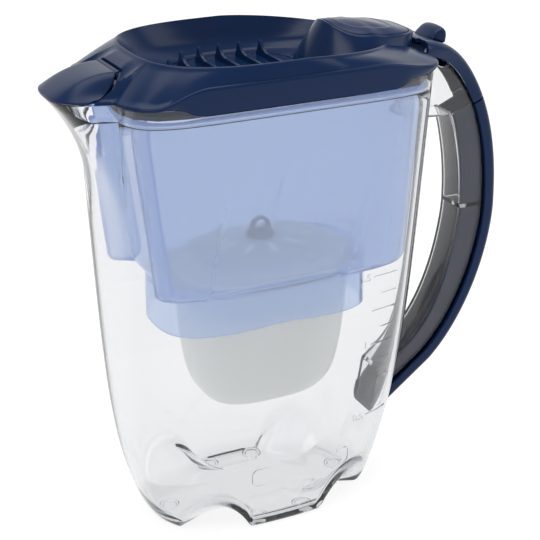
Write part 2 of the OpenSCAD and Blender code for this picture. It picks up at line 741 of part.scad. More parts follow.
// Frame that carries the thumb lever: two cheeks that reach back into the crown's slot
cheek_y = 10.5;
cheek_t = 1.9;
cheek_bar = [3.5, 2];
module lever_bracket() {
  x0 = rear_gate[0] + seat_gap;
  x1 = lever_axis[0] + 3.2;
  top = jug_h + 9.4;
  half = cheek_y + cheek_t;
  color(NAVY) place() difference() {
    union() {
      for (side = [-1, 1]) translate([0, side * (cheek_y + cheek_t / 2), 0]) rotate([90, 0, 0])
        linear_extrude(cheek_t, center = true) polygon([
          [x0, jug_h + 0.7], [rim_rear + 2 * seat_gap, jug_h + 0.7], [x1 - 5.2, jug_h - 1.7], [x1, jug_h - 1.7],
          [x1, jug_h + 3.5], [x1 - 1.6, jug_h + 4.7], [x1 - 12.2, jug_h + 6.5], [x0 + 5, top], [x0, top]
        ]);
      translate([x0, -half, top - cheek_bar[1]]) cube([cheek_bar[0], 2 * half, cheek_bar[1]]);
    }
    pin(lever_axis, lever_pin_r + pin_play, 2 * half);
  }
}

// Round pin along Y through a hinge line
module pin(axis, r, half) {
  translate([axis[0], 0, axis[1]]) rotate([90, 0, 0]) cylinder(r = r, h = 2 * half, center = true, $fn = 64);
}
module lever_pin() {
  color(STEEL) place() pin(lever_axis, lever_pin_r, cheek_y + cheek_t);
}
module hatch_pin() {
  color(STEEL) place() pin(hatch_axis, hatch_pin_r, hatch_ear_y + ear_t);
}
module flap_pin() {
  color(STEEL) place() pin(flap_axis, flap_pin_r, knuckle_half + 0.3 + ear_t);
}

// Coil spring round a hinge line, from y0 to y1
module coil(axis, r, wire, y0, y1, turns) {
  steps = 12;
  sides = 6;
  n = turns * steps;
  function coil_at(i, q) =
    let (a = 360 * i / steps, b = -360 * q / sides, d = r + wire * cos(b))
      [axis[0] + d * sin(a), mix(y0, y1, i / n) + wire * sin(b), axis[1] + d * cos(a)];
  loft(
    [for (i = [0:n]) [for (q = [0:sides - 1]) coil_at(i, q)]],
    [axis[0], y0, axis[1] + r], [axis[0] + r * sin(360 * turns), y1, axis[1] + r * cos(360 * turns)]
  );
}
module lever_spring() {
  color(STEEL) place() coil(lever_axis, lever_pin_r + 1.1, 0.45, lever_hub_half + 0.8, cheek_y - 0.8, 3);
}
module hatch_spring() {
  color(STEEL) place() coil(hatch_axis, hatch_pin_r + 0.9, 0.35, hatch_hub_half + 0.6, hatch_ear_y - 0.6, 3);
}

// Thumb lever: a sloping pad, a rounded thumb rest on its rear end, and an arm that reaches
// under the hatch's tail
pad_half = 13.2;
rest_half = 9.5;
rest_bevel = 2.5;
lever_hub_half = 5;
lever_hub_r = 3.6;
arm_half = 5;
arm_tip = 14;
arm_top = 3.2;
tail_low = hatch_axis[1] - 1;
module lever_prism(half, points) {
  translate([lever_axis[0], 0, jug_h]) rotate([90, 0, 0]) linear_extrude(2 * half, center = true) polygon(points);
}
module thumb_lever() {
  tip = hatch_axis[0] + arm_tip - lever_axis[0];
  gate = rear_gate[0] - lever_axis[0];
  tip_top = tail_low - 0.4 - jug_h;
  color(NAVY) place() difference() {
    union() {
      lever_prism(pad_half, [
        [-8.6, 9.9], [-8.6, 7.5], [-3, 6.6], [1, 5.5], [5.5, 4], [10, 1.9], [14.3, -0.2],
        [14.5, 1.9], [10.5, 4.3], [6, 6.4], [1.5, 7.9], [-3, 9]
      ]);
      hull() {
        lever_prism(rest_half - rest_bevel, [
          [3, 6.8], [10, 4], [14.2, 3], [15, 7.5], [14.6, 10.8], [12.5, 13], [9, 12.3], [5, 9.5]
        ]);
        lever_prism(rest_half, [[3, 6.8], [10, 4], [14.2, 3], [14.8, 6], [12.5, 10], [9, 10.5]]);
      }
      lever_prism(arm_half, [[-5, 7.5], [-3, 1.5], [3, 1.5], [5, 5]]);
      pin(lever_axis, lever_hub_r, lever_hub_half);
      lever_prism(arm_half, [
        [tip, tip_top], [tip, -arm_top], [tip + 10, -arm_top], [gate, 1.4], [gate + 9, 1.2], [0, -1],
        [0, arm_top], [gate - 2, arm_top], [tip + 8, tip_top]
      ]);
    }
    pin(lever_axis, lever_pin_r + pin_play, lever_hub_half + 1);
  }
}

// ---- Fill hatch: a flat plate with cross fins, hinged under the hood ----

plate_top = floor_z;
fin_rear = 19;
fin_inset = 6;
horn_at = 30;
horn_base = 7.5;
tail_long = 20;
tail_half = 6;
// How far behind the hinge line the tail widens, clear of the spring
tail_neck = 5;
module fin(x) {
  half = mouth_half * pow(1 - pow(abs(x) / mouth_front, mouth_power), 1 / mouth_power) - fin_inset;
  peak = min(horn_at, half - horn_base / 2);
  translate([x, 0, plate_top - 0.01]) rotate([90, 0, 90]) linear_extrude(fin_t, center = true) polygon([
    [-peak - horn_base / 2, 0], [-peak, horn_h], [-peak + horn_base, fin_h],
    [peak - horn_base, fin_h], [peak, horn_h], [peak + horn_base / 2, 0]
  ]);
}
module fill_hatch() {
  color(NAVY) place() difference() {
    union() {
      mouth_prism(plate_top - plate_t, plate_top, -hatch_gap);
      for (k = [0:fin_count - 1]) fin(fin_rear - k * fin_pitch);
      translate([hatch_axis[0], 0, hatch_axis[1]]) rotate([90, 0, 0])
        cylinder(r = hatch_ear_r, h = 2 * hatch_hub_half, center = true, $fn = 48);
      translate([hatch_axis[0], -hatch_hub_half, tail_low]) cube([tail_long, 2 * hatch_hub_half, plate_t]);
      translate([hatch_axis[0] + tail_neck, -tail_half, tail_low])
        cube([tail_long - tail_neck, 2 * tail_half, plate_t]);
      translate([mouth_rear - 2 * hatch_gap, -hatch_hub_half, plate_top - plate_t])
        cube([hatch_axis[0] - mouth_rear + 2 * hatch_gap, 2 * hatch_hub_half, plate_t]);
    }
    pin(hatch_axis, hatch_pin_r + pin_play, hatch_hub_half + 1);
  }
}

// ---- Spout flap ----

flap_t = 1.8;
flap_rows = 9;
flap_cols = 13;
flap_end = 0.985;
// Height of the flap over the spout's tip
flap_low = 1.4;
// How much thinner the flap is at its tip
flap_thin = 0.4;
function flap_at(row, col, sink) =
  let (
    v = sin(90 * (2 * col / (flap_cols - 1) - 1)),
    y = v * flap_half * flap_end,
    u = row / (flap_rows - 1),
    x0 = seam(y) + flap_gap,
    x1 = max(x0 + 1, rim_front + spout_reach * sqrt(1 - pow(abs(y) / spout_half, 3))),
    z0 = jug_h + edge_rise - front_fall + neck_rise - neck_fall * ease(neck_span[0], neck_span[1], abs(y)),
    z1 = jug_h + flap_low
  ) [-mix(x0, x1, u), y, mix(z0, z1, pow(u, 2.2)) - sink * (1 - flap_thin * u)];
module spout_flap() {
  grid = function(sink) [
    for (j = [0:flap_rows - 1]) [for (i = [flap_cols - 1:-1:0]) flap_at(j, i, sink)]
  ];
  color(NAVY) place() sheet(grid(0), grid(flap_t));
}
module flap_hinge() {
  color(NAVY) place() difference() {
    union() {
      pin(flap_axis, knuckle_r, knuckle_half);
      translate([flap_axis[0] - 4.4, -knuckle_half, flap_axis[1] - 1.9]) cube([4.4, 2 * knuckle_half, 1]);
    }
    pin(flap_axis, flap_pin_r + pin_play, knuckle_half + 1);
  }
}
module flap_bracket() {
  y0 = knuckle_half + 0.3;
  color(NAVY) place() difference() {
    union() {
      for (side = [-1, 1]) translate([flap_axis[0], side * (y0 + ear_t / 2), flap_axis[1]]) {
        rotate([90, 0, 0]) cylinder(r = knuckle_r, h = ear_t, center = true, $fn = 48);
        translate([0, -ear_t / 2, -knuckle_r - foot_drop]) {
          cube([5, ear_t, foot_h]);
          cube([knuckle_r, ear_t, foot_drop + 1]);
        }
      }
      translate([flap_axis[0] + 2.5, -y0 - ear_t / 2, flap_axis[1] - knuckle_r - foot_drop])
        cube([2.5, 2 * y0 + ear_t, foot_h]);
    }
    pin(flap_axis, flap_pin_r + pin_play, 2 * y0);
  }
}

// ---- Reservoir: a clear blue tub with a pouring channel and a collar for the filter ----

res_floor = jug_h - res_drop;
res_top = seat_z + seat_gap + 1.6;
lobe_taper = 8.4;
channel_taper = 7;
step_w = 2.5;
// Side panels: height where they start, and their front and rear creases at top and bottom
panel_top = 216;
panel_front = [-37, -52];
panel_rear = [54, 33];
collar_half = jug_half(res_floor) - wall - res_gap - side_inset;
bowl_half = collar_half - res_wall - ledge_w;
collar_x = 1;
collar_power = 2.8;
collar_wave = 5;
filter_x = 4;
ledge_t = 1.5;
function res_at(phi, z, inset) =
  let (
    p = jug_at(phi, z, wall + res_gap + inset, 0),
    down = (seat_z - z) / (seat_z - res_floor),
    front = p.x < 0 ? ease(0, 60, -p.x) * lobe_taper * down * 0.65 : 0,
    in_channel = (1 - ease(channel_half - step_w, channel_half + step_w, abs(p.y))) * ease(30, 60, -p.x),
    k = max(0, (panel_top - z) / (panel_top - res_floor)),
    in_panel = ease(mix(panel_front[0], panel_front[1], k) - 2, mix(panel_front[0], panel_front[1], k) + 3, p.x)
      * (1 - ease(mix(panel_rear[0], panel_rear[1], k) - 3, mix(panel_rear[0], panel_rear[1], k) + 2, p.x)),
    side = k * side_inset * in_panel * ease(20, 38, abs(p.y))
  ) [
    p.x + front + in_channel * (channel_deep - channel_taper * (1 - down) * 0.4),
    p.y - sign(p.y) * side
  ];
function collar_at(phi, grow) =
  let (p = polar(oval(phi, collar_long + grow, collar_long + grow, collar_half + grow, collar_power), phi))
    [p.x + collar_x, p.y];
function ledge_at(phi, grow) =
  let (p = polar(oval(phi, bowl_long + grow, bowl_long + grow, bowl_half + grow, collar_power), phi))
    [p.x + filter_x, p.y];
function collar_z(phi) = res_floor - collar_deep + collar_wave * (1 - cos(2 * phi)) / 2;
ledge_grow = 0.7;
res_outer = [0, 0.08, 0.22, 0.4, 0.58, 0.76, 0.9];
module reservoir() {
  top = seat_z - 1;
  ring = function(f) [for (phi = turns()) f(phi)];
  color(BLUE) place() loft([
    ring(function(phi) up(collar_at(phi, 0), collar_z(phi))),
    ring(function(phi) up(collar_at(phi, 0), res_floor)),
    ring(function(phi) up(mix(collar_at(phi, 0), res_at(phi, res_floor, res_wall), 0.9), res_floor)),
    ring(function(phi) up(res_at(phi, res_floor + 1.5, 1.5), res_floor + 1.5)),
    for (w = res_outer) let (z = mix(res_floor + 5, top, w)) ring(function(phi) up(res_at(phi, z, 0), z)),
    ring(function(phi) up(res_at(phi, top, 0), top)),
    ring(function(phi) up(res_at(phi, seat_z, 0), seat_z + seat_gap)),
    for (z = [seat_z + seat_gap, res_top]) ring(function(phi) up(jug_at(phi, seat_z, lip_wall + seat_gap, 0), z)),
    ring(function(phi) up(res_at(phi, seat_z, res_wall), res_top)),
    for (k = [len(res_outer) - 1:-1:0])
      let (z = mix(res_floor + 5, top, res_outer[k])) ring(function(phi) up(res_at(phi, z, res_wall), z)),
    ring(function(phi) up(res_at(phi, res_floor + 2, res_wall), res_floor + res_wall + 1)),
    ring(function(phi) up(mix(collar_at(phi, -res_wall), res_at(phi, res_floor, res_wall), 0.8), res_floor + res_wall)),
    ring(function(phi) up(collar_at(phi, -res_wall), res_floor + res_wall)),
    ring(function(phi) up(collar_at(phi, -res_wall), res_floor - 3)),
    ring(function(phi) up(ledge_at(phi, ledge_grow), res_floor - 3)),
    ring(function(phi) up(ledge_at(phi, ledge_grow), res_floor - 3 - ledge_t)),
    ring(function(phi) up(collar_at(phi, -res_wall), res_floor - 3 - ledge_t)),
    ring(function(phi) up(collar_at(phi, -res_wall), collar_z(phi)))
  ]);
}

// ---- Filter cartridge ----

seal_t = 1;
flange_z = res_floor - 3 + seal_t + 0.1;
flange_t = 2;
bowl_low = flange_z - bowl_deep;
// Shape of the bowl: part of its depth from the bottom, and how far it has drawn in
bowl_form = [[0, 26], [0.04, 17], [0.12, 10.5], [0.25, 6], [0.5, 2.5], [0.8, 0.7], [1, 0]];
function bowl_ring(grow, z) = [
  for (phi = turns()) up(ledge_at(phi, grow), z)
];
function flange_ring(z) = [
  for (phi = turns()) up(collar_at(phi, -res_wall - 2 * seat_gap), z)
];
module filter_bowl() {
  color(WHITE) place() loft(
    concat(
      [for (f = bowl_form) bowl_ring(-f[1], mix(bowl_low, flange_z, f[0]))],
      [flange_ring(flange_z), flange_ring(flange_z + flange_t)],
      [for (k = [len(bowl_form) - 1:-1:0]) let (f = bowl_form[k])
        bowl_ring(-f[1] - bowl_wall, mix(bowl_low + bowl_wall, flange_z + flange_t, f[0]))]
    ),
    [filter_x, 0, bowl_low], [filter_x, 0, bowl_low + bowl_wall]
  );
}
module filter_seal() {
  color([0.25, 0.26, 0.28]) place() loft([
    bowl_ring(ledge_grow + 1.2, res_floor - 3 + 0.05),
    bowl_ring(ledge_grow + 1.2, flange_z - 0.05),
    bowl_ring(ledge_grow + 0.4, flange_z - 0.05),
    bowl_ring(ledge_grow + 0.4, res_floor - 3 + 0.05)
  ]);
}
media_top = 12;
media_gap = 0.6;
media_lift = 0.025;
mesh_t = 0.8;
module filter_media() {
  form = [for (f = bowl_form) if (f[0] < 0.7) f];
  inset = bowl_wall + media_gap;
  low = bowl_low + bowl_wall;
  high = flange_z - media_top;
  color([0.3, 0.3, 0.32]) place() loft(
    [
      for (f = form) bowl_ring(-f[1] - inset, mix(low, flange_z, f[0] + media_lift)),
      bowl_ring(-form[len(form) - 1][1] / 2 - inset, high)
    ],
    [filter_x, 0, mix(low, flange_z, media_lift)], [filter_x, 0, high]
  );
}
module mesh_disc(z, shrink) {
  color(WHITE) place() translate([filter_x, 0, z]) linear_extrude(mesh_t)
    polygon([for (phi = turns()) ledge_at(phi, -shrink) - [filter_x, 0]]);
}
module lower_mesh() {
  mesh_disc(bowl_low + bowl_wall + 0.1, bowl_form[0][1] + bowl_wall + 1);
}
module upper_mesh() {
  mesh_disc(flange_z - media_top + 0.15, bowl_wall + 2);
}

cap_holes = 10;
cap_wall = 1.6;
cap_grow = -bowl_wall - 0.6;
cap_brim = 0.8;
hole_ring = [14, 21];
hole_r = 1.6;
hole_turn = 18;
module filter_cap() {
  base = flange_z + flange_t + 0.1;
  form = [[0, 0], [0.35, 2], [0.7, 8], [0.92, 20], [1, 32]];
  color(WHITE) place() difference() {
    loft(
      concat(
        [for (k = [len(form) - 1:-1:0]) let (f = form[k])
          bowl_ring(cap_grow - f[1] - cap_wall, mix(base, base + cap_rise - cap_wall, f[0]))],
        [bowl_ring(cap_brim, base), bowl_ring(cap_brim, base + cap_wall)],
        [for (f = form) bowl_ring(cap_grow - f[1], mix(base + cap_wall + 0.2, base + cap_rise, f[0]))]
      ),
      [filter_x, 0, base + cap_rise - cap_wall], [filter_x, 0, base + cap_rise]
    );
    for (k = [0:cap_holes - 1]) let (a = hole_turn + 360 * k / cap_holes) hull() for (r = hole_ring)
      translate([filter_x + r * cos(a) * bowl_long / bowl_half, r * sin(a), base + 2])
        cylinder(r = hole_r, h = cap_rise, $fn = 8);
  }
}
module filter_tab() {
  base = flange_z + flange_t + 0.1 + cap_rise + 0.1;
  color(NAVY) place() translate([filter_x, 0, base]) difference() {
    union() {
      cylinder(r = 8, h = 1.6, $fn = 48);
      translate([0, 0, 5]) rotate([90, 0, 0]) cylinder(r = 6, h = 2.4, center = true, $fn = 48);
    }
    translate([0, 0, 6]) rotate([90, 0, 0]) cylinder(r = 3.4, h = 5, center = true, $fn = 48);
    translate([-8, -8, -4]) cube([16, 16, 4]);
  }
}

jug();
handle_cover();
handle_crown();
lid_shell();
lid_tray();
hood_cap();
lever_bracket();
lever_pin();
lever_spring();
thumb_lever();
fill_hatch();
hatch_pin();
hatch_spring();
flap_bracket();
flap_pin();
flap_hinge();
spout_flap();
reservoir();
filter_bowl();
filter_seal();
filter_media();
lower_mesh();
upper_mesh();
filter_cap();
filter_tab();
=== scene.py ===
"""Looks of the water filter pitcher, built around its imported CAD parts.

Lengths below are millimetres in the jug's own frame, as in the part's source;
mesh() turns them into metres and shifts them onto the row frame.
"""
import math

import bmesh
import bpy
import numpy as np
from mathutils import Matrix, Vector


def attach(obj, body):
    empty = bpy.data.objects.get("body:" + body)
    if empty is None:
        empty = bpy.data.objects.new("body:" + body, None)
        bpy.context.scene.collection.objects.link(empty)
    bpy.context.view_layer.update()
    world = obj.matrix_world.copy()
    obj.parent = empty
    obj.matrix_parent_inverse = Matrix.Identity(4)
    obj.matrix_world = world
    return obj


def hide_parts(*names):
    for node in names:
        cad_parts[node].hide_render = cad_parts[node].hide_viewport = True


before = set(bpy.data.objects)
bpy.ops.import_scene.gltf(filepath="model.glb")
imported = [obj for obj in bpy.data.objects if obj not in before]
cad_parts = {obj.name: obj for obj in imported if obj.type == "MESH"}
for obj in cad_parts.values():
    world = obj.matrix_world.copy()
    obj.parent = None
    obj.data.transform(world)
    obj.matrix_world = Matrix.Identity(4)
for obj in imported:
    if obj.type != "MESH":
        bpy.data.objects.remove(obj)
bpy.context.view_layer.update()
MID_X = 19.0  # centre of the whole part along X, in the jug's own frame
pi = math.pi

# ---------------------------------------------------------------- camera
scene = bpy.context.scene
cam_data = bpy.data.cameras.new("camera")
cam_data.sensor_width = 36
cam_data.lens = 1512 / 540 * 36
cam_data.clip_end = 20
camera = bpy.data.objects.new("camera", cam_data)
scene.collection.objects.link(camera)
azimuth = math.radians(-26.5)
look_at = Vector((-0.008, 0, 0.1385))
camera.location = (look_at.x + 0.796 * math.sin(azimuth), -0.796 * math.cos(azimuth), 0.470)
camera.rotation_euler = (look_at - camera.location).to_track_quat("-Z", "Y").to_euler()
scene.camera = camera


# ---------------------------------------------------------------- mesh tools
def mesh(name, points, faces, body, material, smooth=35.0, slot=None):
    """A piece from points in millimetres and faces, which rides on a body."""
    co = np.array(points, float)
    co[:, 0] -= MID_X
    data = bpy.data.meshes.new(name)
    data.from_pydata((co / 1000).tolist(), [], faces)
    data.validate()
    obj = bpy.data.objects.new(name, data)
    scene.collection.objects.link(obj)
    finish_mesh(obj, smooth)
    data.materials.append(material)
    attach(obj, body)
    return obj


def finish_mesh(obj, smooth):
    bm = bmesh.new()
    bm.from_mesh(obj.data)
    bmesh.ops.recalc_face_normals(bm, faces=bm.faces)
    bm.to_mesh(obj.data)
    bm.free()
    if smooth:
        obj.data.shade_smooth()
        obj.data.set_sharp_from_angle(angle=math.radians(smooth))


def ring_faces(rows, cols, looped, base=0):
    out = []
    for j in range(rows if looped else rows - 1):
        k = (j + 1) % rows
        for i in range(cols):
            n = (i + 1) % cols
            out.append((base + j * cols + i, base + j * cols + n, base + k * cols + n, base + k * cols + i))
    return out


def loft(rings, looped=False):
    """Points and faces of a closed surface through rings, capped with flat ends."""
    rings = [np.array(r, float) for r in rings]
    rows, cols = len(rings), len(rings[0])
    pts = np.concatenate(rings)
    faces = ring_faces(rows, cols, looped)
    if not looped:
        faces.append(tuple(reversed(range(cols))))
        faces.append(tuple(range((rows - 1) * cols, rows * cols)))
    return pts.tolist(), faces


def join(*parts):
    pts, faces = [], []
    for p, f in parts:
        base = len(pts)
        pts += [list(q) for q in p]
        faces += [tuple(i + base for i in face) for face in f]
    return pts, faces


def prism(outline, low, high, axis):
    """Closed prism over a polygon, along X, Y or Z."""
    n = len(outline)
    pts = []
    for h in (low, high):
        for a, b in outline:
            pts.append({"x": (h, a, b), "y": (a, h, b), "z": (a, b, h)}[axis])
    faces = [tuple(range(n)), tuple(reversed(range(n, 2 * n)))]
    faces += [(i, (i + 1) % n, n + (i + 1) % n, n + i) for i in range(n)]
    return pts, faces


def block(x0, x1, y0, y1, z0, z1):
    return prism([(x0, y0), (x1, y0), (x1, y1), (x0, y1)], z0, z1, "z")


def cutter(name, pts, faces):
    co = np.array(pts, float)
    co[:, 0] -= MID_X
    data = bpy.data.meshes.new(name)
    data.from_pydata((co / 1000).tolist(), [], faces)
    obj = bpy.data.objects.new(name, data)
    scene.collection.objects.link(obj)
    finish_mesh(obj, 0)
    return obj


def carve(obj, tools, smooth=35.0, bevel=0.0):
    """Boolean steps, [("UNION" or "DIFFERENCE", (points, faces)), ...], applied to obj's mesh."""
    for k, (step, (pts, faces)) in enumerate(tools):
        tool = cutter("tool_%d" % k, pts, faces)
        mod = obj.modifiers.new("cut", "BOOLEAN")
        mod.operation = step
        mod.object = tool
        mod.solver = "EXACT"
        apply(obj)
        bpy.data.objects.remove(tool)
    if bevel:
        mod = obj.modifiers.new("bevel", "BEVEL")
        mod.width = bevel / 1000
        mod.segments = 3
        mod.limit_method = "ANGLE"
        mod.angle_limit = math.radians(40)
        mod.harden_normals = False
        apply(obj)
    if smooth:
        obj.data.shade_smooth()
        obj.data.set_sharp_from_angle(angle=math.radians(smooth))
    return obj


def apply(obj):
    bpy.context.view_layer.update()
    graph = bpy.context.evaluated_depsgraph_get()
    new = bpy.data.meshes.new_from_object(obj.evaluated_get(graph))
    old = obj.data
    obj.modifiers.clear()
    obj.data = new
    new.name = obj.name
    if not len(new.materials) and len(old.materials):
        for m in old.materials:
            new.materials.append(m)


# ---------------------------------------------------------------- materials
def material(name):
    mat = bpy.data.materials.new(name)
    mat.use_nodes = True
    tree = mat.node_tree
    bsdf = tree.nodes["Principled BSDF"]
    return mat, tree, bsdf


def node(tree, kind, **values):
    made = tree.nodes.new(kind)
    for key, value in values.items():
        if key.startswith("in_"):
            made.inputs[key[3:].replace("_", " ")].default_value = value
        else:
            setattr(made, key, value)
    return made


def noise_bump(tree, bsdf, scale, strength, distance, detail=4.0):
    where = node(tree, "ShaderNodeTexCoord")
    noise = node(tree, "ShaderNodeTexNoise", in_Scale=scale, in_Detail=detail)
    bump = node(tree, "ShaderNodeBump", in_Strength=strength, in_Distance=distance)
    tree.links.new(where.outputs["Object"], noise.inputs["Vector"])
    tree.links.new(noise.outputs["Fac"], bump.inputs["Height"])
    tree.links.new(bump.outputs["Normal"], bsdf.inputs["Normal"])
    return where, noise


def ranged(tree, source, low, high, target):
    reach = node(tree, "ShaderNodeMapRange")
    reach.inputs["From Min"].default_value = 0.3
    reach.inputs["From Max"].default_value = 0.7
    reach.inputs["To Min"].default_value = low
    reach.inputs["To Max"].default_value = high
    tree.links.new(source, reach.inputs["Value"])
    tree.links.new(reach.outputs["Result"], target)


def glassy(name, absorb, density, ior, rough, wave, tint=(1, 1, 1), through=1.0):
    mat, tree, bsdf = material(name)
    bsdf.inputs["Base Color"].default_value = (*tint, 1)
    bsdf.inputs["Transmission Weight"].default_value = through
    bsdf.inputs["IOR"].default_value = ior
    where, noise = noise_bump(tree, bsdf, 14, wave, 0.0006, 2)
    fine = node(tree, "ShaderNodeTexNoise", in_Scale=160.0, in_Detail=3.0)
    tree.links.new(where.outputs["Object"], fine.inputs["Vector"])
    ranged(tree, fine.outputs["Fac"], rough * 0.6, rough * 1.5, bsdf.inputs["Roughness"])
    volume = node(tree, "ShaderNodeVolumeAbsorption", in_Color=(*absorb, 1), in_Density=density)
    tree.links.new(volume.outputs["Volume"], tree.nodes["Material Output"].inputs["Volume"])
    return mat


def moulded(name, colour, rough, grain_scale, grain, shine=0.5, spread=0.06):
    mat, tree, bsdf = material(name)
    where, noise = noise_bump(tree, bsdf, grain_scale, grain, 0.0002)
    broad = node(tree, "ShaderNodeTexNoise", in_Scale=22.0, in_Detail=3.0)
    tree.links.new(where.outputs["Object"], broad.inputs["Vector"])
    ranged(tree, broad.outputs["Fac"], rough - spread / 2, rough + spread / 2, bsdf.inputs["Roughness"])
    ramp = node(tree, "ShaderNodeMix", data_type="RGBA")
    ramp.inputs["A"].default_value = (*[c * 0.93 for c in colour], 1)
    ramp.inputs["B"].default_value = (*[c * 1.07 for c in colour], 1)
    tree.links.new(broad.outputs["Fac"], ramp.inputs["Factor"])
    tree.links.new(ramp.outputs["Result"], bsdf.inputs["Base Color"])
    bsdf.inputs["Specular IOR Level"].default_value = shine
    return mat


CLEAR = glassy("clear_plastic", (0.66, 0.675, 0.70), 115.0, 1.46, 0.02, 0.08)
BLUE = glassy("blue_plastic", (0.34, 0.54, 0.88), 50.0, 1.45, 0.06, 0.02, (0.74, 0.83, 0.97), 0.72)
NAVY = moulded("navy_plastic", (0.0035, 0.017, 0.064), 0.24, 900.0, 0.03, shine=0.16)
NAVY_SATIN = moulded("navy_inner", (0.004, 0.015, 0.054), 0.34, 700.0, 0.10, shine=0.25)
STEEL = moulded("steel", (0.52, 0.53, 0.55), 0.32, 500.0, 0.1)
STEEL.node_tree.nodes["Principled BSDF"].inputs["Metallic"].default_value = 1
RUBBER = moulded("seal_rubber", (0.03, 0.03, 0.032), 0.6, 300.0, 0.3)
FROST = moulded("frosted_plastic", (0.90, 0.92, 0.91), 0.42, 420.0, 0.15)
# Painted light: the frosted and blue plastics get a faint emission, so they glow brighter than lamps and surroundings
# alone would light them, though neither part is a lamp.
for painted_glow_material, colour, strength in ((FROST, (0.95, 1, 0.98, 1), 0.15), (BLUE, (0.55, 0.67, 1, 1), 0.08)):
    painted_glow_inputs = painted_glow_material.node_tree.nodes["Principled BSDF"].inputs
    painted_glow_inputs["Emission Color"].default_value = colour
    painted_glow_inputs["Emission Strength"].default_value = strength
MEDIA = moulded("filter_media", (0.72, 0.75, 0.78), 0.8, 220.0, 0.8)
MESH = moulded("mesh", (0.82, 0.83, 0.84), 0.6, 1500.0, 0.8)


# ---------------------------------------------------------------- shared curves
def ease(low, high, v):
    t = np.clip((np.asarray(v, float) - low) / (high - low), 0, 1)
    return t * t * (3 - 2 * t)


def mix(a, b, t):
    return a + (b - a) * t


def turns(n, crowd=12):
    t = np.arange(n) * 360.0 / n
    return np.radians(t - crowd * np.sin(np.radians(2 * t)))


def oval(phi, front, rear, half, power):
    c, s = np.cos(phi), np.sin(phi)
    a = np.where(c < 0, front, rear)
    return (np.abs(c / a) ** power + np.abs(s / half) ** power) ** (-1 / power)


def polar(r, phi):
    return np.stack([r * np.cos(phi), r * np.sin(phi)], -1)


def up(p, z):
    z = np.broadcast_to(z, p.shape[:1])
    return np.stack([p[:, 0], p[:, 1], z], -1)


JUG_H, WALL, LIP = 257.0, 2.6, 1.2
SEAT_Z = 247.0


def jug_sizes(z):
    u = np.maximum(0, 1 - z / JUG_H)
    front = 89 - 7 * u - 16 * u**8
    rear = 92 - 9 * u - 19 * u**5
    half = 54.5 - 6.5 * u - 4 * u**6
    return front, rear, half, mix(6.0, 2.5, u)


def spout(y, z, inset):
    wide = 28 - inset
    k = np.maximum(0, 1 - (np.minimum(np.abs(y), wide) / wide) ** 3)
    rise = np.maximum(0, (z - 175) / (JUG_H - 175)) ** 2.5
    return 28 * rise * np.sqrt(k)


def jug_at(phi, z, inset, beak=1.0):
    h = np.minimum(z, JUG_H)
    front, rear, half, power = jug_sizes(h)
    r = oval(phi, front - inset, rear - inset, half - inset, power)
    x, y = r * np.cos(phi), r * np.sin(phi)
    x = np.where(x < 0, x - beak * spout(y, h, inset), x)
    return np.stack([x, y], -1)


def rim_z(x):
    return JUG_H - 4.5 * (ease(-66, -54, x) - ease(60, 70, x))


def arch(phi):
    a = np.degrees(np.arctan2(np.abs(np.sin(phi)), np.abs(np.cos(phi))))
    s = (a - 42) / 20
    return 20 * np.maximum(0, 1 - s * s)


def under_z(f, phi):
    return 0.8 + 2 * (1 - ease(0.45, 0.62, f)) + arch(phi) * max(0.0, (f - 0.45) / 0.55) ** 1.3


# ---------------------------------------------------------------- jug
def jug_body():
    n = 240
    phi = turns(n)
    zero = up(jug_at(phi, 0 * phi + JUG_H, 0), JUG_H)
    top = rim_z(zero[:, 0])
    rings = []

    def base(f, lift, inset):
        z = under_z(f, phi) + lift
        return up(jug_at(phi, z, inset) * f, z)

    def wall(w, goal, lift, inset):
        z = mix(under_z(1, phi) + lift, goal, w)
        return up(jug_at(phi, z, inset), z)

    for f in (0.04, 0.2, 0.38, 0.46, 0.55, 0.62, 0.7, 0.78, 0.86, 0.92, 0.955):
        rings.append(base(f, 0, 0))
    for f, lift in ((0.978, 0.7), (0.992, 2.0)):
        rings.append(base(f, lift, 0))
    for w in np.linspace(0, 1, 44) ** 1.0:
        rings.append(wall(w, top - 0.5, 4.5, 0))
    for inset, dz in ((0.15, -0.15), (0.6, 0.0), (1.05, -0.15)):
        z = top + dz
        rings.append(up(jug_at(phi, z, inset), z))
    rings.append(up(jug_at(phi, top * 0 + SEAT_Z + 0.4, LIP), SEAT_Z + 0.4))
    rings.append(up(jug_at(phi, top * 0 + SEAT_Z, LIP + 0.3), SEAT_Z))
    rings.append(up(jug_at(phi, top * 0 + SEAT_Z, WALL - 0.2), SEAT_Z))
    for w in np.linspace(1, 0, 40):
        rings.append(wall(w, SEAT_Z - 0.4, 9.5, WALL))
    for f, lift in ((0.985, 6.2), (0.955, 4.4), (0.92, 3.4), (0.86, 2.9)):
        rings.append(base(f, lift, WALL))
    for f in (0.78, 0.7, 0.62, 0.55, 0.46, 0.38, 0.2, 0.04):
        rings.append(base(f, WALL, WALL))
    return loft(rings)


def curve_at(t):
    power = 2.26 if t >= 0 else 1.72
    c, s = math.cos(math.radians(t)), abs(math.sin(math.radians(t)))
    return 87 + 68 * c ** (2 / power), 160.5 + (107 if t >= 0 else -109) * s ** (2 / power)


def station(t):
    """Origin on the handle curve and the direction into the handle."""
    (x0, z0), (x1, z1) = curve_at(t - 0.4), curve_at(t + 0.4)
    size = math.hypot(x1 - x0, z1 - z0)
    return np.array(curve_at(t)), np.array([-(z1 - z0), (x1 - x0)]) / size


def at_station(t, outline):
    o, d = station(float(t))
    return [(o[0] + d[0] * q, y, o[1] + d[1] * q) for y, q in outline]


def grip_outer(t):
    return 2.5 + 9.5 * float(ease(54, 64, t))


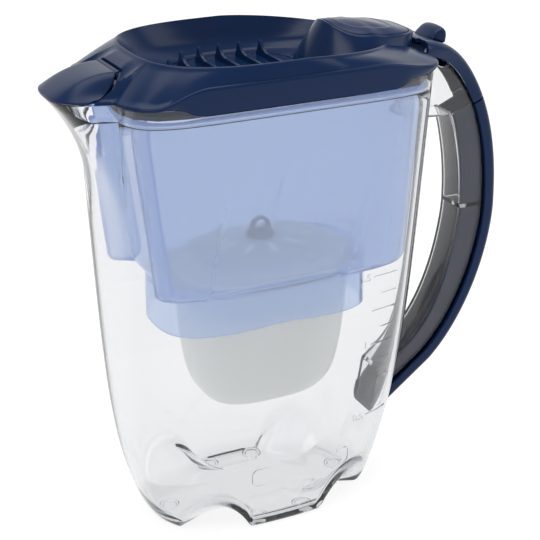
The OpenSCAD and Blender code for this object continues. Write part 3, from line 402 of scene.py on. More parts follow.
def grip_inner(t):
    if t > 36:
        (x0, z0), (x1, z1) = curve_at(t - 0.5), curve_at(t + 0.5)
        slope = (x0 - x1) / math.hypot(x1 - x0, z1 - z0)
        return (curve_at(t)[1] - mix(217.8, 222, float(ease(36, 72, t)))) / slope
    return 24.5 - 3.5 * float(ease(10, 60, -t)) - 0.9 * float(ease(18, 36, t))


def leg_deep(t):
    return grip_inner(t) - 2.7


def arc(cx, cy, r, a0, a1, n):
    angles = np.radians(np.linspace(a0, a1, n))
    return [(cx + r * math.cos(a), cy + r * math.sin(a)) for a in angles]


def u_section(half, top, deep, wall, r):
    """A U whose web is at depth top and whose legs end at depth deep."""
    q = max(0.4, r - wall)
    inner = half - wall
    out = [(-half, deep)]
    out += arc(-half + r, top + r, r, 180, 270, 7) + arc(half - r, top + r, r, 270, 360, 7)
    out += [(half, deep), (half - 0.35, deep + 0.35), (inner + 0.35, deep + 0.35), (inner, deep)]
    out += arc(inner - q, top + wall + q, q, 0, -90, 6) + arc(-inner + q, top + wall + q, q, -90, -180, 6)
    return out + [(-inner, deep), (-inner - 0.35, deep + 0.35), (-half + 0.35, deep + 0.35)]


def grip_section(t):
    """The clear grip is a U that opens outwards: legs end at grip_outer, web at grip_inner."""
    half, wall, r, q = 11.0, 2.4, 3.0, 1.2
    a, b = grip_outer(t), grip_inner(t)
    out = [(-half, a + 0.3)]
    out += arc(-half + r, b - r, r, 180, 90, 7) + arc(half - r, b - r, r, 90, 0, 7)
    out += [(half, a + 0.3), (half - 0.3, a), (half - wall + 0.3, a), (half - wall, a + 0.3)]
    out += arc(half - wall - q, b - wall - q, q, 0, 90, 5) + arc(-half + wall + q, b - wall - q, q, 90, 180, 5)
    out += [(-half + wall, a + 0.3), (-half + wall - 0.3, a), (-half + 0.3, a)]
    return out


def wall_line(z, out=0.0):
    return float(jug_sizes(np.array(z))[1]) + out


def grip():
    st = []
    end = grip_section(-63)
    a0, b0 = grip_outer(-63), grip_inner(-63)
    foot = [(40.5 + (q - a0) / (b0 - a0) * 25.5, y) for y, q in end]
    foot = np.array([(wall_line(z) - 1.2, y, z) for z, y in foot])
    last = np.array(at_station(-63, end))
    st += [mix(foot, last, k / 8).tolist() for k in range(8)]
    st += [at_station(t, grip_section(float(t))) for t in np.arange(-63, 72.1, 1.8)]
    top = grip_section(72)
    a0, b0 = grip_outer(72), grip_inner(72)
    root = np.array([(wall_line(238) - 1.2, y, 254 - (q - a0) / (b0 - a0) * 32) for y, q in top])
    first = np.array(st[-1])
    st += [mix(first, root, w).tolist() for w in np.linspace(0, 1, 7)[1:]]
    return loft(st)


def circle(cx, cy, r, n=40):
    return [(cx + r * math.cos(2 * pi * k / n), cy + r * math.sin(2 * pi * k / n)) for k in range(n)]


def foot_pads():
    parts = []
    for x, y in ((55, 0), (-55, 0), (15, 34), (15, -34), (-15, 34), (-15, -34)):
        phi = np.linspace(0, 2 * pi, 48, endpoint=False)
        form = [(0.6, 0.5), (4.1, 0.5), (4.4, 0.2), (4.7, 0.0), (5.9, 0.02), (6.2, 0.35), (6.4, 1.1), (6.2, 1.8), (0.6, 1.8)]
        parts.append(loft([up(polar(r, phi), z) + [x, y, 0] for r, z in form]))
    return join(*parts)


def side_y(x, z):
    front, rear, half, power = jug_sizes(np.array(float(z)))
    side = rear if x > 0 else front
    return float(half * (1 - (abs(x) / side) ** power) ** (1 / power))


def raised_bar(x0, x1, z, thick, rise, n=8):
    rings = []
    for x in np.linspace(x0, x1, n):
        rings.append([(x, -side_y(x, z) + 0.3, z - thick / 2), (x, -side_y(x, z) - rise, z - thick / 2 * 0.7),
                      (x, -side_y(x, z) - rise, z + thick / 2 * 0.7), (x, -side_y(x, z) + 0.3, z + thick / 2)])
    return loft(rings)


def volume_scale():
    parts = [raised_bar(50, 66, z, 1.0, 0.38) for z in (58, 104, 125, 146)]
    parts += [raised_bar(56, 66, z, 0.7, 0.3) for z in (81, 93, 114, 135)]
    return join(*parts)


def rounded_frame(cx, cz, w, h, r, thick, rise):
    """A rounded rectangle drawn as a raised line on the jug's near side."""
    corner = []
    for sx, sz, a0 in ((1, 1, 0), (-1, 1, 90), (-1, -1, 180), (1, -1, 270)):
        corner += arc(cx + sx * (w - r), cz + sz * (h - r), r, a0, a0 + 90, 8)
    rings = []
    for x, z in corner:
        k = np.array([x - cx, z - cz])
        k = k / np.linalg.norm(k)
        ring = []
        for d, q in ((-thick / 2, -0.3), (-thick / 2 * 0.7, rise), (thick / 2 * 0.7, rise), (thick / 2, -0.3)):
            px, pz = x + k[0] * d, z + k[1] * d
            ring.append((px, -side_y(px, pz) - q, pz))
        rings.append(ring)
    return loft(rings, looped=True)


web = [(131.5, -9.8), (152.5, -9.8), (152.5, 9.8), (131.5, 9.8)]
jug = mesh("jug_body", *jug_body(), "jug", CLEAR, smooth=30, slot="clear_plastic")
carve(jug, [
    ("UNION", grip()),
    ("UNION", foot_pads()),
    ("UNION", join(volume_scale(), rounded_frame(8, 35, 31, 5.5, 3.5, 1.0, 0.4))),
    ("UNION", prism(web, 159.3, 161.7, "z")),
    ("DIFFERENCE", prism(circle(142.7, 0, 4.5), 155, 165, "z")),
], smooth=32)
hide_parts("jug")


def numbers():
    """Plain volume numbers beside the lines, raised from the near side."""
    for text, z in (("0.5", 58), ("1", 104), ("1.5", 146)):
        curve = bpy.data.curves.new("number_" + text.replace(".", "_"), "FONT")
        curve.body = text
        curve.size = 0.0062
        curve.extrude = 0.00022
        curve.align_x = "RIGHT"
        curve.align_y = "CENTER"
        made = bpy.data.objects.new(curve.name + "_outline", curve)
        scene.collection.objects.link(made)
        x = 48.0
        y0, y1 = side_y(x - 8, z), side_y(x, z)
        place = Matrix.Translation(((x - MID_X) / 1000, -(y1 + 0.12) / 1000, z / 1000))
        made.matrix_world = place @ Matrix.Rotation(math.atan2(y0 - y1, 8), 4, "Z") @ Matrix.Rotation(pi / 2, 4, "X")
        bpy.context.view_layer.update()
        data = bpy.data.meshes.new_from_object(made.evaluated_get(bpy.context.evaluated_depsgraph_get()))
        data.transform(made.matrix_world)
        obj = bpy.data.objects.new(curve.name, data)
        bpy.data.objects.remove(made)
        scene.collection.objects.link(obj)
        data.materials.clear()
        data.materials.append(CLEAR)
        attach(obj, "jug")


numbers()


# ---------------------------------------------------------------- handle cover and crown
COVER_HALF = 13.35


def cover_section(leg):
    """The cover's outer shell with its two lips, and two inner legs down to a depth."""
    half, wall, deep, r, q = COVER_HALF, 2.2, 8.0, 4.2, 1.2
    side = arc(half - r, r, r, -90, 0, 8)
    side += [(half, deep - 0.35), (half - 0.35, deep), (half - wall + 0.35, deep), (half - wall, deep - 0.35)]
    side += arc(half - wall - q, wall + q, q, 0, -90, 5)
    side += [(8.6, wall), (8.3, wall + 0.3), (8.3, leg - 0.4), (7.9, leg), (6.9, leg), (6.5, leg - 0.4), (6.5, wall)]
    return side + [(-y, d) for y, d in reversed(side)]


def handle_cover():
    rings = [np.array(at_station(t, cover_section(leg_deep(t)))) for t in np.linspace(35.6, -63, 56)]
    root = [(y, min(54.0, 37 + 1.39 * q)) for y, q in cover_section(leg_deep(-63))]
    end = np.array([(wall_line(z, 0.45), y, z) for y, z in root])
    return loft(rings + [mix(rings[-1], end, w) for w in np.linspace(0, 1, 9)[1:]])


cover = mesh("cover_skin", *handle_cover(), "jug", NAVY, smooth=40, slot="navy_plastic")
carve(cover, [("DIFFERENCE", block(130, 152.8, -9.3, 9.3, 159.0, 162.0))], smooth=40)
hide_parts("handle_cover")


def crown_half(t):
    return COVER_HALF + (27 - COVER_HALF) * float(ease(30, 96, t)) ** 1.6 * 1.06


def handle_crown():
    rings = []
    for t in np.linspace(36.4, 84.5, 30):
        r = 4.2 + 0.8 * float(ease(50, 80, t))
        rings.append(at_station(t, u_section(crown_half(t), 0, 8, 2.2, r)))
    return loft(rings)


def rounded_slab(x0, x1, half, z0, z1, r, n=6):
    outline = []
    a, b, c = x0 + r, x1 - r, half - r
    for cx, cy, a0 in ((b, c, 0), (a, c, 90), (a, -c, 180), (b, -c, 270)):
        outline += arc(cx, cy, r, a0, a0 + 90, n)
    return prism(outline, z0, z1, "z")


crown = mesh("crown_skin", *handle_crown(), "jug", NAVY, smooth=40, slot="navy_plastic")
carve(crown, [("DIFFERENCE", rounded_slab(80, curve_at(65)[0], 15.2, 238, 300, 2.5))], bevel=0.35)
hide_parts("handle_crown")


# ---------------------------------------------------------------- lid shell
def between(a, b, c, d, u):
    """Catmull-Rom step from b to c, with their neighbours a and d."""
    return 0.5 * ((2 * b) + (c - a) * u + (2 * a - 5 * b + 4 * c - d) * u**2 + (3 * b - a - 3 * c + d) * u**3)


def curve_through(stops, count):
    """Smooth values through stops, [(value, ...), ...], passing each of them."""
    stops = np.array(stops, float)
    n = len(stops)
    ext = np.concatenate([[2 * stops[0] - stops[1]], stops, [2 * stops[-1] - stops[-2]]])
    out = []
    for t in np.linspace(0, n - 1, count):
        k = min(int(t), n - 2)
        out.append(between(*ext[k:k + 4], t - k))
    return np.array(out)


FLOOR_Z = JUG_H - 0.5
LID_T = 2.2


def seam(y):
    return 82 + 14 * (np.maximum(0, np.abs(y) - 14) / 12) ** 1.5


def lid_at(phi, inset, lip):
    p = jug_at(phi, np.full(phi.shape, JUG_H), inset)
    return np.stack([np.maximum(p[:, 0], lip - seam(p[:, 1])), p[:, 1]], -1)


def edge_z(p):
    x, y = p[:, 0], np.abs(p[:, 1])
    neck = (8.2 - 10 * ease(12, 27, y)) * ease(60, 80, -x)
    return JUG_H + 10 - 6 * ease(50, 78, -x) - 5 * ease(50, 88, x) + neck


def basin_at(phi, grow):
    power = np.where(np.cos(phi) < 0, 3, 2)
    return polar(oval(phi, 70 + grow, 77 + grow, 52.6 + grow, power), phi)


def floor_at(phi, grow):
    return polar(oval(phi, 50 + grow, 50 + grow, 43 + grow, 2.4), phi)


def mouth_at(phi, grow):
    return polar(oval(phi, 47 + grow, 34 + grow, 40 + grow, 2.6), phi)


def basin_z(x):
    return JUG_H + 18.2 - 6.5 * np.clip((x - 5) / 70, 0, 1) ** 1.3


def basin_wall(phi, w, drop, grow, sink):
    a, b = basin_at(phi, grow), floor_at(phi, grow)
    return up(mix(a, b, w), mix(basin_z(a[:, 0]), FLOOR_Z + 0.5, drop) - sink)


def lid_loft():
    phi = turns(320)
    foot, edge = lid_at(phi, -0.3, 0), lid_at(phi, -2, 0)
    rim = basin_at(phi, 0)
    low, top = rim_z(foot[:, 0]) + 0.3, edge_z(edge)
    rings = [up(foot, low)]
    for w in (0.25, 0.5, 0.75, 1):
        p = mix(foot, edge, w**0.8)
        rings.append(up(p, mix(low, np.maximum(low, top - 2), w)))
    for inset, dz in ((-2.05, -1.4), (-1.95, -0.75), (-1.6, -0.2), (-1.1, 0.1)):
        rings.append(up(lid_at(phi, inset, 2 + inset), top + dz))
    shoulder = up(lid_at(phi, -0.6, 1.4), top + 0.25)
    brow = up(basin_at(phi, 1.5), basin_z(rim[:, 0]) - 1.2)
    for w in np.linspace(0, 1, 9):
        p = mix(shoulder, brow, w)
        p[:, 2] += 0.5 * math.sin(pi * w)
        rings.append(p)
    for grow, dz in ((1.15, -0.75), (0.7, -0.32), (0.2, -0.06), (-0.2, -0.02)):
        rings.append(up(basin_at(phi, grow), basin_z(rim[:, 0]) + dz))
    for w, drop in curve_through([(0.02, 0.012), (0.2, 0.3), (0.5, 0.72), (1, 1)], 18):
        rings.append(basin_wall(phi, w, drop, 0, 0))
    for grow, dz in ((0.6, 0.05), (0.15, -0.15), (0, -0.6), (0, 0.5 - LID_T)):
        rings.append(up(mouth_at(phi, grow), FLOOR_Z + dz))
    for w, drop, grow, sink in ((1, 1, 0.7, LID_T), (0.5, 0.72, LID_T, 0.5), (0.2, 0.3, LID_T, 0.5)):
        rings.append(basin_wall(phi, w, drop, grow, sink))
    rings.append(up(basin_at(phi, -1), basin_z(rim[:, 0]) - LID_T - 1))
    rings.append(up(lid_at(phi, LID_T - 2, LID_T), np.maximum(low + 0.3, top - LID_T - 1)))
    rings.append(up(lid_at(phi, LIP, LIP), low))
    return loft(rings, looped=True)


HOOD_X = 62.0


def hood_at(phi, k, inset):
    a = oval(phi, 33 - inset, 31.7 - inset, 34 - inset, 2)
    b = oval(phi, 20 - inset, 31.3 - inset, 22 - inset, np.where(np.cos(phi) < 0, 2, 4))
    p = polar(mix(a, b, k), phi)
    p[:, 0] += HOOD_X
    return p


def ridge_z(x):
    return JUG_H + 23 - 4 * np.clip((x - 50) / 36, 0, 1) ** 1.2


def crease_z(phi):
    c = np.cos(phi)
    return JUG_H + 23 - 6.7 + np.where(c < 0, 6.7 * np.maximum(0, -c) ** 3, -1.8 * ease(0, 0.5, c))


def roof_at(phi, s, sink):
    c = hood_at(phi, 1, 0)
    x = HOOD_X + (c[:, 0] - HOOD_X) * s
    return up(np.stack([x, c[:, 1] * s], -1), mix(ridge_z(x), crease_z(phi), s * s) - sink)


def hood_foot_z(x):
    return FLOOR_Z - LID_T + 0.9 + 2.1 * ease(76, 84, x)


def hood_side(phi, k, inset, sink):
    p = hood_at(phi, k, inset)
    return up(p, mix(hood_foot_z(p[:, 0]), crease_z(phi) - sink, k * (1.25 - 0.25 * k)))


CAP_T = 1.8


def hood_outside():
    phi = turns(220)
    rings = [hood_side(phi, k, 0, 0) for k in np.linspace(0, 0.94, 22)]
    rings.append(hood_side(phi, 0.975, 0, 0.02))
    rings += [roof_at(phi, s, sink) for s, sink in ((0.995, -0.02), (0.965, 0), (0.94, 0), (0.932, 0.15))]
    rings += [roof_at(phi, s * 0.995, CAP_T + 0.2) for s in (0.93, 0.8, 0.55, 0.28, 0.05)]
    return loft(rings)


def hood_inside():
    phi = turns(120)
    deep = CAP_T + 0.2 + LID_T
    rings = [up(hood_at(phi, 0, LID_T), SEAT_Z)]
    rings += [hood_side(phi, k, LID_T, deep) for k in (0, 0.12, 0.25, 0.4, 0.55, 0.7, 0.85)]
    rings += [roof_at(phi, s * 0.93, deep) for s in (0.93, 0.8, 0.55, 0.28, 0.05)]
    return loft(rings)


lid = mesh("lid_skin", *lid_loft(), "lid", NAVY, smooth=40, slot="navy_plastic")
mouth = prism(mouth_at(turns(160), -0.5).tolist(), SEAT_Z, FLOOR_Z + 0.6, "z")
carve(lid, [
    ("UNION", hood_outside()),
    ("DIFFERENCE", hood_inside()),
    ("DIFFERENCE", mouth),
    ("DIFFERENCE", block(86, 98, -15.2, 15.2, SEAT_Z, JUG_H + 9.8)),
    ("DIFFERENCE", block(-89.4, -79.3, -14.2, 14.2, JUG_H + 7.2, JUG_H + 15.2)),
], smooth=40)
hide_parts("lid_shell")


def hood_cap():
    phi = turns(200)
    edge = 0.93 * 0.985
    rings = [roof_at(phi, s, CAP_T) for s in (0.05, 0.28, 0.55, 0.8, edge)]
    rings += [roof_at(phi, edge, 0.35), roof_at(phi, edge - 0.004, 0.12), roof_at(phi, edge - 0.014, 0.0)]
    rings += [roof_at(phi, s, 0) for s in (0.86, 0.8, 0.74, 0.68, 0.64)]
    rings += [roof_at(phi, s, d) for s, d in ((0.625, 0.06), (0.61, 0.25), (0.59, 0.44))]
    rings += [roof_at(phi, s, 0.5) for s in (0.57, 0.5, 0.4, 0.28, 0.05)]
    return loft(rings)


cap = mesh("hood_cap_skin", *hood_cap(), "lid", NAVY, smooth=40, slot="navy_plastic")
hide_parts("hood_cap")


# ---------------------------------------------------------------- spout flap
def flap_grid(rows, cols, sink):
    out = []
    for j in range(rows):
        u = j / (rows - 1)
        v = np.sin(np.radians(90 * (2 * np.arange(cols - 1, -1, -1) / (cols - 1) - 1)))
        y = v * 26 * 0.985
        x0 = seam(y) + 1.5
        x1 = np.maximum(x0 + 1, 89 + 28 * np.sqrt(1 - (np.abs(y) / 28) ** 3))
        z0 = JUG_H + 12.2 - 10 * ease(12, 27, np.abs(y))
        z1 = JUG_H + 1.4
        out.append(np.stack([-mix(x0, x1, u), y, mix(z0, z1, u**2.2) - sink * (1 - 0.4 * u)], -1))
    return out


def slab(top, bottom):
    """Closed solid between two grids of points."""
    rows, cols = len(top), len(top[0])
    pts = np.concatenate([np.concatenate(top), np.concatenate(bottom)])
    k = rows * cols
    faces = []
    for j in range(rows - 1):
        for i in range(cols - 1):
            a = j * cols + i
            faces += [(a, a + 1, a + cols + 1, a + cols), (k + a, k + a + cols, k + a + cols + 1, k + a + 1)]
    rim = list(range(cols)) + [j * cols + cols - 1 for j in range(1, rows)]
    rim += [(rows - 1) * cols + i for i in range(cols - 2, -1, -1)] + [j * cols for j in range(rows - 2, 0, -1)]
    for a, b in zip(rim, rim[1:] + rim[:1]):
        faces.append((a, b, k + b, k + a))
    return pts.tolist(), faces


flap = mesh("flap_skin", *slab(flap_grid(26, 61, 0), flap_grid(26, 61, 1.8)), "flap", NAVY, slot="navy_plastic")
carve(flap, [], smooth=40, bevel=0.5)
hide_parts("spout_flap")


# ---------------------------------------------------------------- thumb lever
def smooth_loop(points, steps):
    """Closed Catmull-Rom curve through points."""
    p = np.array(points, float)
    n = len(p)
    out = []
    for k in range(n):
        near = p[k - 1], p[k], p[(k + 1) % n], p[(k + 2) % n]
        out += [between(*near, u) for u in np.arange(steps) / steps]
    return np.array(out)


def disc(cx, cz, r, half, n=64):
    return prism(circle(cx, cz, r, n), -half, half, "y")


LEVER = (103.0, JUG_H + 1.5)


def lever_points(points):
    return [(LEVER[0] + u, JUG_H + v) for u, v in points]


pad = smooth_loop(lever_points([
    (-8.6, 9.6), (-6, 9.5), (-3, 9), (1.5, 7.9), (6, 6.4), (10.5, 4.3), (14.2, 2.2), (14.6, 0.8), (14.1, 0.1),
    (10, 1.9), (5.5, 4), (1, 5.5), (-3, 6.6), (-6, 7.2), (-8.6, 7.7),
]), 6)


def thumb_rest():
    """Rounded block across the pad's rear end, narrower towards its top."""
    outline = smooth_loop(lever_points([
        (3, 6.8), (7, 5.5), (11, 3.6), (14.0, 3.2), (14.7, 5.5),
        (15, 8), (14.6, 10.9), (12.6, 12.8), (9.2, 12.2), (5.6, 9.6),
    ]), 5)
    rings = []
    for a in np.radians(np.linspace(-90, 90, 21)):
        inset = 3.0 * (1 - math.cos(a) ** 0.6) if abs(math.cos(a)) > 0.02 else 3.0
        centre = outline.mean(axis=0)
        shrunk = centre + (outline - centre) * (1 - inset / 6.5)
        rings.append([(x, 9.5 * math.sin(a), z) for x, z in shrunk])
    return loft(rings)


arm = lever_points([
    (-51, -0.4), (-51, -3.2), (-41, -3.2), (-17, 1.4), (-8, 1.2), (0, -1), (0, 3.2), (-19, 3.2), (-43, -0.4),
])
lever = mesh("lever_skin", *prism(pad.tolist(), -13.2, 13.2, "y"), "lever", NAVY, slot="navy_plastic")
carve(lever, [], bevel=0.6)
carve(lever, [
    ("UNION", thumb_rest()),
    ("UNION", disc(LEVER[0], LEVER[1], 3.6, 5)),
    ("UNION", prism(lever_points([(-5, 7.5), (-3, 1.5), (3, 1.5), (5, 5)]), -4.9, 4.9, "y")),
    ("UNION", prism(arm, -4.8, 4.8, "y")),
    ("DIFFERENCE", disc(LEVER[0], LEVER[1], 2.05, 9)),
], smooth=40)
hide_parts("thumb_lever")


# ---------------------------------------------------------------- fill hatch
def fin_outline(x):
    half = 40 * (1 - (abs(x) / 47) ** 2.6) ** (1 / 2.6) - 6
    peak = min(30.0, half - 3.75)
    base = 7.5
    right = [(peak + base / 2, 0)]
    for u in np.linspace(0.08, 1, 8):
        right.append((peak + base / 2 * (1 - u) ** 1.25, 9 * u))
    right[-1] = (peak, 8.85)
    for u in np.linspace(0, 1, 14)[1:]:
        right.append((peak - 0.5 - (base + 3) * u, 3 + 5.85 * (1 - u) ** 2.4))
    left = [(-a, b) for a, b in reversed(right)]
    return right + left


plate = prism(mouth_at(turns(160), -1).tolist(), FLOOR_Z - 2, FLOOR_Z, "z")
plate = mesh("hatch_skin", *plate, "hatch", NAVY, slot="navy_plastic")
carve(plate, [], bevel=0.45)
tools = []
for k in range(6):
    fx = 19 - 12.4 * k
    outline = [(y, FLOOR_Z - 0.2 + h) for y, h in fin_outline(fx)]
    tools.append(("UNION", prism(outline, fx - 0.8, fx + 0.8, "x")))
HATCH = (38.0, JUG_H + 1)
tools += [
    ("UNION", disc(HATCH[0], HATCH[1], 2.8, 4)),
    ("UNION", block(38, 58, -3.9, 3.9, 257, 259)),
    ("UNION", block(43, 58, -6, 6, 257, 259)),
    ("UNION", block(32, 38, -4, 4, 254.5, 256.5)),
    ("DIFFERENCE", disc(HATCH[0], HATCH[1], 1.65, 5)),
]
carve(plate, tools, smooth=35)
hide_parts("fill_hatch")


# ---------------------------------------------------------------- reservoir
RES_FLOOR = 148.0


def res_at(phi, z, inset):
    z = np.broadcast_to(np.asarray(z, float), phi.shape)
    p = jug_at(phi, z, WALL + 2 + inset, 0)
    x, y = p[:, 0], p[:, 1]
    down = (SEAT_Z - z) / (SEAT_Z - RES_FLOOR)
    front = np.where(x < 0, ease(0, 60, -x) * 8.4 * down * 0.65, 0)
    channel = (1 - ease(27.5, 32.5, np.abs(y))) * ease(30, 60, -x)
    k = np.maximum(0, (216 - z) / (216 - RES_FLOOR))
    a, b = mix(-37, -52, k), mix(54, 33, k)
    panel = ease(0, 5, x - a + 2) * (1 - ease(0, 5, x - b + 3))
    side = k * 6.5 * panel * ease(20, 38, np.abs(y))
    return np.stack([x + front + channel * (12 - 7 * (1 - down) * 0.4), y - np.sign(y) * side], -1)


def collar_at(phi, grow):
    p = polar(oval(phi, 63 + grow, 63 + grow, 40.6 + grow, 2.8), phi)
    p[:, 0] += 1
    return p


def ledge_at(phi, grow):
    p = polar(oval(phi, 49 + grow, 49 + grow, 36.5 + grow, 2.8), phi)
    p[:, 0] += 4
    return p


def collar_z(phi):
    return RES_FLOOR - 28 + 5 * (1 - np.cos(2 * phi)) / 2


def reservoir():
    phi = turns(300)
    top = SEAT_Z - 1
    lip = jug_at(phi, np.full(phi.shape, SEAT_Z), LIP + 0.3, 0)
    rings = [up(collar_at(phi, -0.3), collar_z(phi)), up(collar_at(phi, 0), collar_z(phi) + 0.3)]
    rings += [up(collar_at(phi, 0), mix(collar_z(phi) + 0.3, RES_FLOOR - 0.3, w)) for w in (0.25, 0.5, 0.75, 1)]
    rings += [up(collar_at(phi, 0.3), RES_FLOOR)]
    for w in (0.3, 0.6, 0.9):
        rings.append(up(mix(collar_at(phi, 0.3), res_at(phi, RES_FLOOR, 1.8), w), RES_FLOOR))
    for dz, inset in ((0.3, 1.5), (1.0, 1.05), (2.2, 0.45), (3.6, 0.1)):
        rings.append(up(res_at(phi, RES_FLOOR + dz, inset), RES_FLOOR + dz))
    rings += [up(res_at(phi, z, 0), z) for z in np.linspace(RES_FLOOR + 5, top, 40)]
    rings += [up(res_at(phi, SEAT_Z, 0), SEAT_Z + 0.3), up(lip, SEAT_Z + 0.3)]
    rings += [up(lip, SEAT_Z + 1.9), up(res_at(phi, SEAT_Z, 1.8), SEAT_Z + 1.9)]
    rings += [up(res_at(phi, z, 1.8), z) for z in np.linspace(top, RES_FLOOR + 6, 36)]
    for dz, inset in ((4.6, 1.8), (3.4, 1.85), (2.9, 1.9)):
        rings.append(up(res_at(phi, RES_FLOOR + dz, inset), RES_FLOOR + dz))
    inner, ledge, floor = collar_at(phi, -1.8), ledge_at(phi, 0.7), res_at(phi, RES_FLOOR, 1.8)
    rings += [up(mix(inner, floor, w), RES_FLOOR + 1.8) for w in (0.9, 0.5, 0.05)]
    rings += [up(p, RES_FLOOR + dz) for p, dz in ((inner, 1.5), (inner, -3), (ledge, -3), (ledge, -4.5), (inner, -4.5))]
    rings += [up(inner, mix(RES_FLOOR - 4.8, collar_z(phi) + 0.3, w)) for w in (0.3, 0.65, 1)]
    rings += [up(collar_at(phi, -1.5), collar_z(phi))]
    return loft(rings, looped=True)


tub = mesh("reservoir_skin", *reservoir(), "reservoir", BLUE, smooth=30, slot="blue_plastic")
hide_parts("reservoir")


# ---------------------------------------------------------------- filter cartridge
FLANGE_Z = RES_FLOOR - 3 + 1.1
BOWL_LOW = FLANGE_Z - 82
BOWL = [(0, 26), (0.04, 17), (0.12, 10.5), (0.25, 6), (0.5, 2.5), (0.8, 0.7), (1, 0)]


def bowl_form(count):
    out = curve_through(BOWL, count)
    out[:, 0] = np.maximum.accumulate(np.clip(out[:, 0], 0, 1))
    return out


def bowl_skin():
    phi = turns(220)
    form = bowl_form(44)
    rings = [up(ledge_at(phi, -g), BOWL_LOW) for g in (35, 30, 26.5)]
    rings += [up(ledge_at(phi, -g), mix(BOWL_LOW, FLANGE_Z, f)) for f, g in form[1:]]
    edge = collar_at(phi, -2.4)
    rings += [up(edge, FLANGE_Z), up(edge, FLANGE_Z + 2)]
    rings += [up(ledge_at(phi, -g - 1.6), mix(BOWL_LOW + 1.6, FLANGE_Z + 2, f)) for f, g in form[::-1][:-1]]
    rings += [up(ledge_at(phi, -g), BOWL_LOW + 1.6) for g in (28, 31, 35)]
    return loft(rings)


bowl = mesh("bowl_skin", *bowl_skin(), "cartridge", FROST, smooth=35, slot="frosted_plastic")
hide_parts("filter_bowl")


def cap_skin():
    phi = turns(200)
    base = FLANGE_Z + 2.1
    form = curve_through([(0, 0), (0.35, 2), (0.7, 8), (0.92, 20), (1, 32)], 22)
    rings = [up(ledge_at(phi, -2.2 - g - 1.6), mix(base, base + 12.4, f)) for f, g in form[::-1]]
    rings += [up(ledge_at(phi, 0.8), base), up(ledge_at(phi, 0.8), base + 1.6)]
    rings += [up(ledge_at(phi, -2.2 - g), mix(base + 1.8, base + 14, f)) for f, g in form]
    return loft(rings)


dome = mesh("filter_cap_skin", *cap_skin(), "cartridge", FROST, smooth=35, slot="frosted_plastic")
slots = []
for k in range(10):
    a = math.radians(18 + 36 * k)
    c, s = math.cos(a), math.sin(a)
    long, base = 49 / 36.5, FLANGE_Z + 2.1
    outline = []
    for r, a0 in ((21, -90), (14, 90)):
        for b in np.radians(np.linspace(a0, a0 + 180, 12)):
            u, v = r + 1.6 * math.cos(b), 1.6 * math.sin(b)
            outline.append((4 + (u * c) * long - v * s, u * s + v * c))
    slots.append(("DIFFERENCE", prism(outline, base + 2, base + 18, "z")))
carve(dome, slots, smooth=35)
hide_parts("filter_cap")


def media_skin():
    phi = turns(160)
    form = [(f, g) for f, g in bowl_form(40) if f < 0.7][1:]
    low, high = BOWL_LOW + 1.6, FLANGE_Z - 12
    rings = [up(ledge_at(phi, grow), mix(low, FLANGE_Z, 0.025)) for grow in (-34, -28.4)]
    rings += [up(ledge_at(phi, -g - 2.2), mix(low, FLANGE_Z, f + 0.025)) for f, g in form]
    rings += [up(ledge_at(phi, -3.4), high - 0.6), up(ledge_at(phi, -4.2), high), up(ledge_at(phi, -34), high)]
    return loft(rings)


media = mesh("media_skin", *media_skin(), "cartridge", MEDIA, smooth=40, slot="media")
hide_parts("filter_media")


# ---------------------------------------------------------------- CAD pieces that show as they are
for names, mat in (
    (("lid_tray", "lever_bracket", "flap_bracket", "flap_hinge", "filter_tab"), NAVY_SATIN),
    (("lever_pin", "hatch_pin", "flap_pin", "lever_spring", "hatch_spring"), STEEL),
    (("lower_mesh", "upper_mesh"), MESH),
    (("filter_seal",), RUBBER),
):
    for name in names:
        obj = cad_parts[name]
        obj.data.materials.clear()
        obj.data.materials.append(mat)
        obj.data.shade_smooth()
        obj.data.set_sharp_from_angle(angle=math.radians(30))


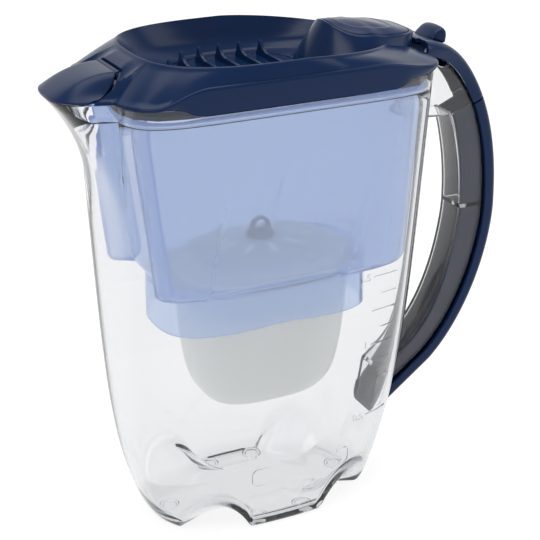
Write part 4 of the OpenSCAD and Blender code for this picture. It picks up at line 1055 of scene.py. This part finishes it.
# ---------------------------------------------------------------- stage and light
def backdrop():
    """Pale floor that sweeps up behind, so that the object stands on plain white."""
    rows = [(-2.6, 0.0), (1.2, 0.0)]
    rows += [(1.2 + 0.8 * math.sin(a), 0.8 - 0.8 * math.cos(a)) for a in np.linspace(0.1, pi / 2, 16)]
    rows += [(2.0, 3.4)]
    verts = [(x, y, z) for y, z in rows for x in (-4.0, 4.0)]
    faces = [(2 * k, 2 * k + 1, 2 * k + 3, 2 * k + 2) for k in range(len(rows) - 1)]
    data = bpy.data.meshes.new("backdrop")
    data.from_pydata(verts, [], faces)
    data.shade_smooth()
    obj = bpy.data.objects.new("backdrop", data)
    obj.rotation_euler = (0, 0, azimuth)
    scene.collection.objects.link(obj)
    mat, tree, bsdf = material("backdrop")
    bsdf.inputs["Base Color"].default_value = (0.22, 0.22, 0.22, 1)
    bsdf.inputs["Emission Color"].default_value = (1, 1, 1, 1)
    bsdf.inputs["Emission Strength"].default_value = 0.84
    bsdf.inputs["Roughness"].default_value = 0.9
    data.materials.append(mat)


backdrop()


def softbox(name, place, target, size, power, shape="RECTANGLE"):
    light = bpy.data.lights.new(name, "AREA")
    light.shape = shape
    light.size, light.size_y = size
    light.energy = power
    obj = bpy.data.objects.new(name, light)
    obj.location = place
    obj.rotation_euler = (Vector(target) - Vector(place)).to_track_quat("-Z", "Y").to_euler()
    scene.collection.objects.link(obj)


softbox("key", (-0.9, -0.7, 1.5), (0, 0, 0.15), (0.9, 0.7), 10)
softbox("fill", (1.3, -0.9, 0.9), (0, 0, 0.15), (0.8, 1.0), 6)
softbox("top", (0.1, 0.4, 1.7), (0, 0, 0.15), (1.2, 0.8), 9)
world = bpy.data.worlds.new("studio")
world.use_nodes = True
world.node_tree.nodes["Background"].inputs["Color"].default_value = (1, 1, 1, 1)
world.node_tree.nodes["Background"].inputs["Strength"].default_value = 0.5
scene.world = world
scene.view_settings.view_transform = "Standard"
scene.cycles.max_bounces = 24
scene.cycles.transmission_bounces = 24
scene.cycles.transparent_max_bounces = 24
scene.cycles.glossy_bounces = 8
scene.cycles.diffuse_bounces = 4
